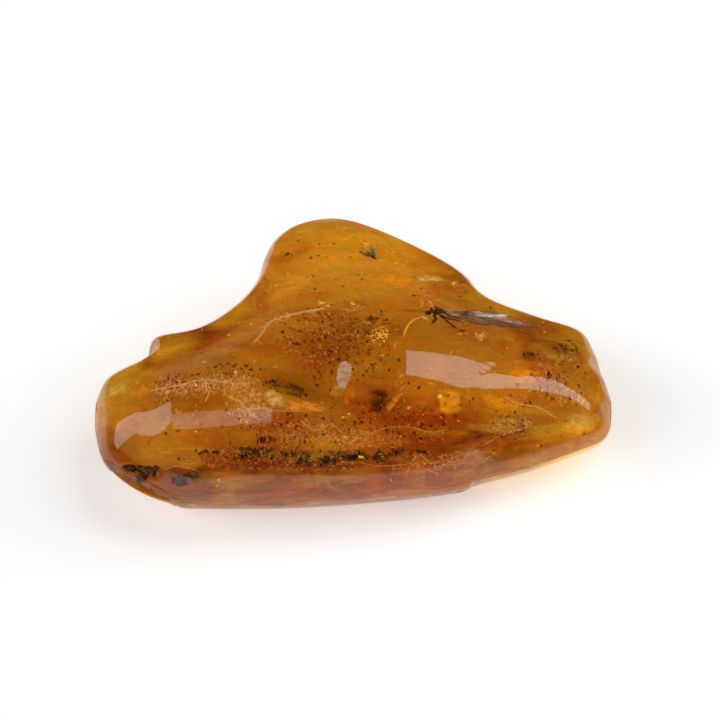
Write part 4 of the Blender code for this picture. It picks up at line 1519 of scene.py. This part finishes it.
# Threads: points in pixels, the share of the depth, the width in millimetres, and how many spurs.
THREADS = [
    ([(254, 343), (262, 333), (271, 321), (283, 317), (294, 314),
      (308, 311), (325, 308)], 0.2, 0.23, 40),
    ([(253, 300), (259, 318), (270, 326)], 0.2, 0.05, 4),
    ([(339, 430), (356, 430), (372, 434), (385, 428), (408, 427),
      (428, 431), (445, 430)], 0.3, 0.08, 10),
    ([(340, 440), (360, 444), (380, 440), (402, 444)], 0.3, 0.06, 8),
    ([(254, 395), (262, 404), (269, 410), (290, 411), (325, 411)], 0.12, 0.07, 4),
    ([(412, 462), (420, 455), (430, 463), (440, 461)], 0.25, 0.13, 9),
    ([(405, 475), (412, 465), (428, 470), (440, 475)], 0.2, 0.1, 8),
    ([(330, 466), (352, 462), (380, 466), (410, 464)], 0.25, 0.07, 8),
    ([(440, 462), (460, 455), (480, 452), (500, 455)], 0.2, 0.09, 8),
    ([(150, 391), (175, 386), (200, 380), (225, 382), (250, 384)], 0.15, 0.12, 50),
    ([(225, 395), (240, 402), (252, 415), (262, 420)], 0.2, 0.1, 16),
    ([(300, 420), (315, 430), (332, 425), (345, 436)], 0.25, 0.1, 14),
    ([(420, 300), (423, 303), (421, 307)], 0.08, 0.08, 1),
    ([(429, 300), (432, 305), (434, 310)], 0.08, 0.08, 1),
    ([(475, 332), (480, 340), (484, 332)], 0.12, 0.28, 3),
    ([(423, 316), (425, 318), (428, 319)], 0.06, 0.24, 0),
    ([(340, 308), (352, 311), (360, 303)], 0.2, 0.08, 3),
    ([(205, 402), (210, 390), (206, 380)], 0.15, 0.07, 3),
    ([(163, 470), (180, 466), (200, 472)], 0.2, 0.08, 6),
    ([(505, 398), (520, 404), (540, 408), (556, 418)], 0.2, 0.09, 12),
    ([(480, 447), (500, 436), (520, 428)], 0.2, 0.07, 8),
]
# Hairs of light: the patch of the view that they lie in, how many, their length and their width.
CURLS = [
    ((206, 384, 56, 11, -6, 0.12, 0.3), 150, 0.55, 0.035),
    ((250, 405, 24, 18, 40, 0.15, 0.3), 120, 0.7, 0.035),
    ((300, 432, 60, 14, 4, 0.15, 0.35), 170, 0.5, 0.035),
    ((300, 455, 120, 9, 2, 0.2, 0.35), 120, 0.55, 0.03),
    ((390, 438, 60, 12, 0, 0.2, 0.4), 110, 0.55, 0.03),
    ((330, 330, 60, 26, -10, 0.15, 0.4), 130, 0.5, 0.03),
    ((508, 425, 24, 9, -8, 0.1, 0.2), 50, 0.6, 0.04),
    ((440, 465, 60, 10, -5, 0.15, 0.3), 60, 0.6, 0.03),
    ((400, 395, 60, 25, 0, 0.2, 0.5), 60, 0.5, 0.03),
    ((565, 365, 30, 30, 30, 0.15, 0.4), 50, 0.5, 0.03),
    ((340, 265, 80, 35, 10, 0.1, 0.5), 60, 0.5, 0.025),
    ((170, 360, 50, 20, -15, 0.1, 0.5), 40, 0.5, 0.025),
]
PALE_DRIFTS = [
    ((206, 384, 56, 9, -6, 0.12, 0.3), 330),
    ((245, 405, 22, 18, 40, 0.15, 0.35), 240),
    ((320, 432, 40, 14, 6, 0.2, 0.4), 220),
    ((300, 455, 110, 8, 2, 0.2, 0.35), 120),
    ((360, 440, 50, 10, 0, 0.25, 0.45), 220),
    ((330, 335, 50, 26, -10, 0.2, 0.5), 260),
    ((508, 425, 22, 9, -8, 0.12, 0.2), 60),
    ((440, 462, 50, 10, -5, 0.2, 0.35), 120),
    ((400, 390, 60, 30, 0, 0.3, 0.6), 110),
    ((160, 400, 50, 25, -10, 0.2, 0.5), 60),
    ((560, 380, 35, 30, 20, 0.2, 0.5), 110),
    ((370, 260, 60, 30, 20, 0.15, 0.5), 70),
]
PALE_CRUMBS = ((0.04, 0.06, 0.08, 0.12), (0.2, 0.5, 0.8, 1.0), 2.6)  # sizes, tones, longest stretch


def thread(heap, chance, spots, share, width, spurs):
    """A ragged ribbon through points of the view, with short spurs to its sides."""
    path = bent_path([within(*spot, share) for spot in spots], 8)
    radii = [width * chance.uniform(0.35, 1.0) for _ in path]
    radii[0] = radii[-1] = width * 0.15
    heap.tube(path, radii, 6, 0.3, chance.uniform(0.4, 1.0))
    for _ in range(spurs):
        root = chance.choice(path)
        reach = width * chance.uniform(1.5, 5.0)
        way = Vector((chance.uniform(-1, 1), chance.uniform(-1, 1), chance.uniform(-0.3, 0.3)))
        tip = root + way * reach
        aside = Vector((chance.uniform(-1, 1), chance.uniform(-1, 1), 0.0))
        kink = (root + tip) / 2 + aside * reach * 0.25
        radii = (width * 0.4, width * 0.3, width * 0.08)
        heap.tube([root, kink, tip], radii, 5, 0.3, chance.uniform(0.2, 1.0))


def crack_finish():
    """Air in a thin crack: pale, pinkish to cream, with a painted glow in its own colour so that it
    looks lit from all sides.
    """
    made, place = new_finish("pale_crack")
    tone = place.amount("tone")
    speckle = place.grain(5.0, 3.0)
    colour = (tone * 0.7 + speckle * 0.5).eased(0.2, 0.9).tint((0.75, 0.36, 0.18), (1.0, 0.76, 0.48))
    takes = {
        "Base Color": colour,
        "Roughness": 0.5,
        "Alpha": 0.68,
    }
    return fill(made, takes, 0.22)


crack_heap = Heap()
crack_chance = random.Random(31)
for facts in THREADS:
    thread(crack_heap, crack_chance, *facts)
for patch, count in PALE_DRIFTS:
    drift(crack_heap, crack_chance, patch, count, *PALE_CRUMBS)
for facts in CURLS:
    curls(crack_heap, crack_chance, *facts)
crack_heap.piece("crack_threads", crack_finish(), 0)


# ---------------------------------------------------------------------------------------------
# Spangles: small discs of strain that opened round bubbles and crumbs. Each is a flat, partly metallic
# mirror of air that flashes where it faces a lamp; its gold and its strong glow are painted glints.

# Each: middle in pixels and share, half-lengths in millimetres, turn, tilt.
SPANGLES = [
    ((322, 303, 0.16), (0.5, 0.16), 5, 10), ((328, 306, 0.16), (0.3, 0.12), 30, 10),
    ((353, 304, 0.2), (0.4, 0.12), -20, 15), ((396, 263, 0.2), (0.5, 0.09), 20, 10),
    ((403, 266, 0.2), (0.3, 0.08), 50, 20), ((366, 244, 0.15), (0.36, 0.2), 10, 10),
    ((454, 283, 0.2), (0.42, 0.16), 70, 20), ((219, 480, 0.2), (0.22, 0.12), 60, 20),
    ((217, 486, 0.2), (0.24, 0.08), 30, 10), ((409, 408, 0.15), (0.24, 0.1), 60, 15),
    ((349, 414, 0.2), (0.2, 0.12), 0, 20), ((345, 437, 0.2), (0.3, 0.12), 0, 10),
    ((361, 457, 0.2), (0.55, 0.2), -15, 10), ((466, 333, 0.15), (0.2, 0.09), 20, 15),
    ((480, 336, 0.12), (0.26, 0.14), 40, 10), ((224, 350, 0.15), (0.14, 0.1), 0, 20),
    ((229, 335, 0.15), (0.5, 0.1), -15, 10), ((300, 232, 0.1), (0.18, 0.07), 40, 10),
    ((312, 240, 0.1), (0.3, 0.05), 60, 15), ((288, 275, 0.15), (0.35, 0.06), 80, 10),
    ((270, 270, 0.1), (0.15, 0.08), 0, 20), ((345, 228, 0.1), (0.16, 0.1), 20, 10),
    ((346, 239, 0.12), (0.22, 0.1), 50, 10), ((395, 345, 0.2), (0.4, 0.06), 75, 20),
    ((204, 362, 0.12), (0.3, 0.12), 10, 10), ((236, 372, 0.15), (0.26, 0.16), 10, 15),
    ((196, 385, 0.12), (0.24, 0.1), 70, 20), ((440, 396, 0.2), (0.4, 0.3), 10, 5),
]
SPANGLE_SIZE = 0.7  # of the half-lengths above
CHIPS = 3  # small ones beside each of those
CLUSTER = (380, 335, 9, 8, 0.22)  # middle and half-lengths in pixels, and the share
CLUSTER_SPANGLES = 46
GOLD_FIBRE = [(404, 336, 0.15), (406, 329, 0.15), (412, 321, 0.15), (423, 316, 0.15)]
GOLD_FIBRE_RADII = (0.05, 0.13, 0.1, 0.03)
LOOSE_SPANGLES = 240
LOOSE_PATCH = (350, 370, 245, 125)  # middle and half-lengths in pixels
LOOSE_SHARES = (0.1, 0.6)
SPANGLE_CORNERS = 11


def spangle(heap, chance, centre, half, turn, tilt, tone=1.0):
    """A thin disc with a torn edge, turned in plan and tipped towards the front."""
    corners = SPANGLE_CORNERS
    lean = Matrix.Rotation(math.radians(turn), 3, "Z")
    tip = Matrix.Rotation(math.radians(tilt), 3, "X")
    points = []
    for level in (0.5, -0.5):
        for k in range(corners):
            angle = math.tau * k / corners
            torn = chance.uniform(0.45, 1.15)
            flat = Vector((half[0] * torn * math.cos(angle), half[1] * torn * math.sin(angle), 0.0))
            points.append(tip @ (lean @ flat) + Vector((0.0, 0.0, 0.02 * level)) + centre)
    points.append(centre + Vector((0.0, 0.0, 0.03)))
    points.append(centre - Vector((0.0, 0.0, 0.03)))
    faces = []
    for k in range(corners):
        m = (k + 1) % corners
        faces.append((k, m, 2 * corners))
        faces.append((corners + m, corners + k, 2 * corners + 1))
        faces.append((m, k, corners + k, corners + m))
    heap.add(points, faces, tone)


def spangle_finish():
    """A mirror of air seen through honey, with painted glints: brown to gold by its tone and by noise,
    and glowing in that colour.
    """
    made, place = new_finish("gold_spangle")
    tone = place.amount("tone")
    scales = place.grain(4.0, 3.0)
    # Painted glints: the gold comes from the tone and the noise, not from the lamps.
    colour = (tone * 0.6 + scales * 0.6).eased(0.3, 0.9).tint((0.75, 0.36, 0.04), (1.0, 0.74, 0.14))
    takes = {
        "Base Color": colour,
        "Metallic": 0.5,
        "Roughness": 0.3,
        "Normal": scales.bump(0.06, 0.8),
    }
    return fill(made, takes, 0.6)


spangle_heap = Heap()
spangle_chance = random.Random(41)
for spot, half, turn, tilt in SPANGLES:
    half = [h * SPANGLE_SIZE for h in half]
    spangle(spangle_heap, spangle_chance, within(*spot), half, turn, tilt)
    for _ in range(CHIPS):
        near_x = spot[0] + spangle_chance.uniform(-3, 3)
        near_y = spot[1] + spangle_chance.uniform(-3, 3)
        small = [h * spangle_chance.uniform(0.25, 0.6) for h in half]
        beside = within(near_x, near_y, spot[2])
        if beside is not None:
            spangle(spangle_heap, spangle_chance, beside, small, turn + 40, tilt, 0.6)
for _ in range(CLUSTER_SPANGLES):
    near_x = spangle_chance.gauss(CLUSTER[0], CLUSTER[2] / 2)
    near_y = spangle_chance.gauss(CLUSTER[1], CLUSTER[3] / 2)
    half = (spangle_chance.uniform(0.1, 0.32), spangle_chance.uniform(0.03, 0.07))
    turn, tilt = spangle_chance.uniform(0, 180), spangle_chance.uniform(-20, 30)
    spot = within(near_x, near_y, CLUSTER[4])
    spangle(spangle_heap, spangle_chance, spot, half, turn, tilt, spangle_chance.uniform(0.3, 1))
fibre = bent_path([within(*spot) for spot in GOLD_FIBRE], 6)
spangle_heap.tube(fibre, spread(GOLD_FIBRE_RADII, len(fibre)), 8, 0.4, 0.2)
for _ in range(LOOSE_SPANGLES):
    angle, reach = spangle_chance.uniform(0, math.tau), spangle_chance.random() ** 0.5
    near_x = LOOSE_PATCH[0] + reach * LOOSE_PATCH[2] * math.cos(angle)
    near_y = LOOSE_PATCH[1] + reach * LOOSE_PATCH[3] * math.sin(angle)
    beside = within(near_x, near_y, spangle_chance.uniform(*LOOSE_SHARES))
    half = (spangle_chance.uniform(0.05, 0.28), spangle_chance.uniform(0.03, 0.08))
    turn, tilt = spangle_chance.gauss(5, 30), spangle_chance.uniform(-30, 40)
    if beside is not None:
        spangle(spangle_heap, spangle_chance, beside, half, turn, tilt, spangle_chance.random())
spangle_heap.piece("gold_spangles", spangle_finish(), 0)


# ---------------------------------------------------------------------------------------------
# Panes: wider cracks, stray flakes of plant matter, bright patches of painted light and a painted
# highlight on a chip. Each is a thin sheet with a torn edge, and each kind has its own colour and
# cover.

# Outlines in pixels, each with a share of the depth.
CREAM_PANES = [
    ([(262, 389), (271, 386), (283, 393), (288, 401), (284, 410), (271, 409), (263, 399)], 0.14),
    ([(411, 276), (424, 274), (444, 277), (446, 281), (430, 283), (413, 281)], 0.2),
    ([(326, 396), (334, 383), (346, 384), (350, 392), (340, 398)], 0.35),
    ([(105, 398), (108, 386), (124, 379), (131, 384), (126, 398)], 0.5),
    ([(556, 428), (570, 411), (592, 409), (606, 415), (600, 428), (576, 432)], 0.35),
]
ORANGE_PANES = [
    ([(283, 401), (300, 399), (318, 403), (330, 408), (325, 411), (300, 411), (284, 410)], 0.16),
    ([(343, 398), (350, 392), (354, 400), (352, 410), (346, 411)], 0.35),
    ([(463, 396), (469, 393), (472, 399), (466, 402)], 0.2),
    ([(131, 392), (145, 383), (150, 392), (136, 398)], 0.25),
    ([(385, 407), (398, 393), (406, 391), (396, 404), (388, 413)], 0.25),
]
# Painted light: bright orange sheets that glow, to brighten these spots.
PAINTED_GLOW_PANES = [
    ([(436, 388), (450, 385), (462, 390), (464, 414), (448, 418), (437, 414)], 0.35),
    ([(556, 432), (570, 415), (590, 412), (603, 418), (597, 432), (576, 438)], 0.45),
    ([(500, 372), (520, 366), (545, 372), (540, 384), (515, 386)], 0.5),
    ([(360, 285), (385, 270), (420, 276), (410, 290), (380, 292)], 0.5),
    ([(470, 388), (500, 392), (530, 404), (520, 414), (485, 406)], 0.5),
    ([(345, 388), (352, 384), (358, 392), (352, 402), (344, 400)], 0.4),
]
DARK_PANES = [
    ([(262, 379), (276, 383), (292, 381), (308, 388), (310, 396), (290, 397), (272, 392)], 0.4),
    ([(370, 388), (380, 385), (389, 392), (387, 408), (378, 417), (369, 407)], 0.42),
]
# A painted highlight: a pale, glowing sheet just under the skin where a chip catches the light.
PAINTED_HIGHLIGHT_PANES = [
    ([(340, 363), (346, 360), (352, 366), (351, 378), (346, 387), (338, 388), (336, 376)], 0.03),
]
PANE_THICK = 0.05
PANE_STEPS = 5  # along each side of an outline
PANE_TORN = (0.88, 1.07)  # how far out its torn edge stands
PANE_RINGS = (1.0, 0.66, 0.33)  # rings of points from the edge to the middle
PANE_COVER = (0.0, 0.6, 1.0)  # how densely each ring covers what lies under it


def pane(heap, chance, outline, share, crumple):
    """A thin crumpled sheet that fills an outline of the view at one share of the depth."""
    corners = [within(x, y, share) for x, y in outline]
    rim = []
    for a, b in zip(corners, corners[1:] + corners[:1]):
        rim += [a.lerp(b, step / PANE_STEPS) for step in range(PANE_STEPS)]
    middle = sum(rim, Vector()) / len(rim)
    tops = []
    for scale in PANE_RINGS:
        for spot in rim:
            shift = Vector((0.0, 0.0, chance.uniform(-crumple, crumple) * (scale < 1.0)))
            torn = scale * (chance.uniform(*PANE_TORN) if scale == 1.0 else 1.0)
            tops.append(middle.lerp(spot, torn) + shift)
    tops.append(middle)
    count = len(rim)
    down = Vector((0.0, 0.0, -PANE_THICK))
    faces = band_faces(len(PANE_RINGS), count)
    for k in range(count):
        faces.append((2 * count + k, 2 * count + (k + 1) % count, 3 * count))
    under = len(tops)
    faces += [tuple(under + i for i in face[::-1]) for face in faces]
    faces += [((k + 1) % count, k, under + k, under + (k + 1) % count) for k in range(count)]
    cover = [amount for amount in PANE_COVER for _ in range(count)] + [1.0]
    start = len(heap.points)
    heap.add(tops + [spot + down for spot in tops], faces)
    heap.tones[start:] = cover + cover


def pane_finish(name, low, high, glow, alpha, sharp):
    """A stained sheet whose colour and cover are broken up by fine streaks, shining in its own colour
    as painted light where it has a glow.
    """
    made, place = new_finish(name)
    cover = place.amount("tone")
    streaks = place.grain(2.2, 4.0, (0.5, 1.0, 1.0))
    colour = streaks.eased(0.35, 0.65).tint(low, high)
    takes = {
        "Base Color": colour,
        "Roughness": 0.4,
        "Alpha": alpha
        * (cover + sharp).eased(0.1, 0.9)
        * streaks.math("MAXIMUM", streaks.eased(0.25, 0.5), sharp),
        "Normal": streaks.bump(0.03, 0.3),
    }
    return fill(made, takes, glow)


# Each kind: its darker and lighter colour, its glow, which is painted light, its cover, how sharp its
# edge is, its crumples.
for name, panes, low, high, glow, alpha, sharp, crumple in (
    ("cream_flakes", CREAM_PANES, (0.7, 0.5, 0.16), (1.0, 0.84, 0.42), 0.3, 0.65, 0.0, 0.05),
    ("orange_flakes", ORANGE_PANES, (0.8, 0.28, 0.04), (1.0, 0.5, 0.1), 0.3, 0.8, 0.2, 0.06),
    ("bright_patches", PAINTED_GLOW_PANES, (0.9, 0.42, 0.03), (1.0, 0.6, 0.06), 0.42, 0.75, 0.0, 0.04),
    ("dark_flakes", DARK_PANES, (0.05, 0.035, 0.02), (0.2, 0.11, 0.05), 0.0, 0.6, 0.0, 0.1),
    ("white_chip", PAINTED_HIGHLIGHT_PANES, (0.9, 0.62, 0.46), (1.0, 0.78, 0.62), 0.14, 0.75, 0.8, 0.0),
):
    pane_heap = Heap()
    pane_chance = random.Random(name)
    for outline, share in panes:
        pane(pane_heap, pane_chance, outline, share, crumple)
    pane_heap.piece(name, pane_finish(name, low, high, glow, alpha, sharp), 0)
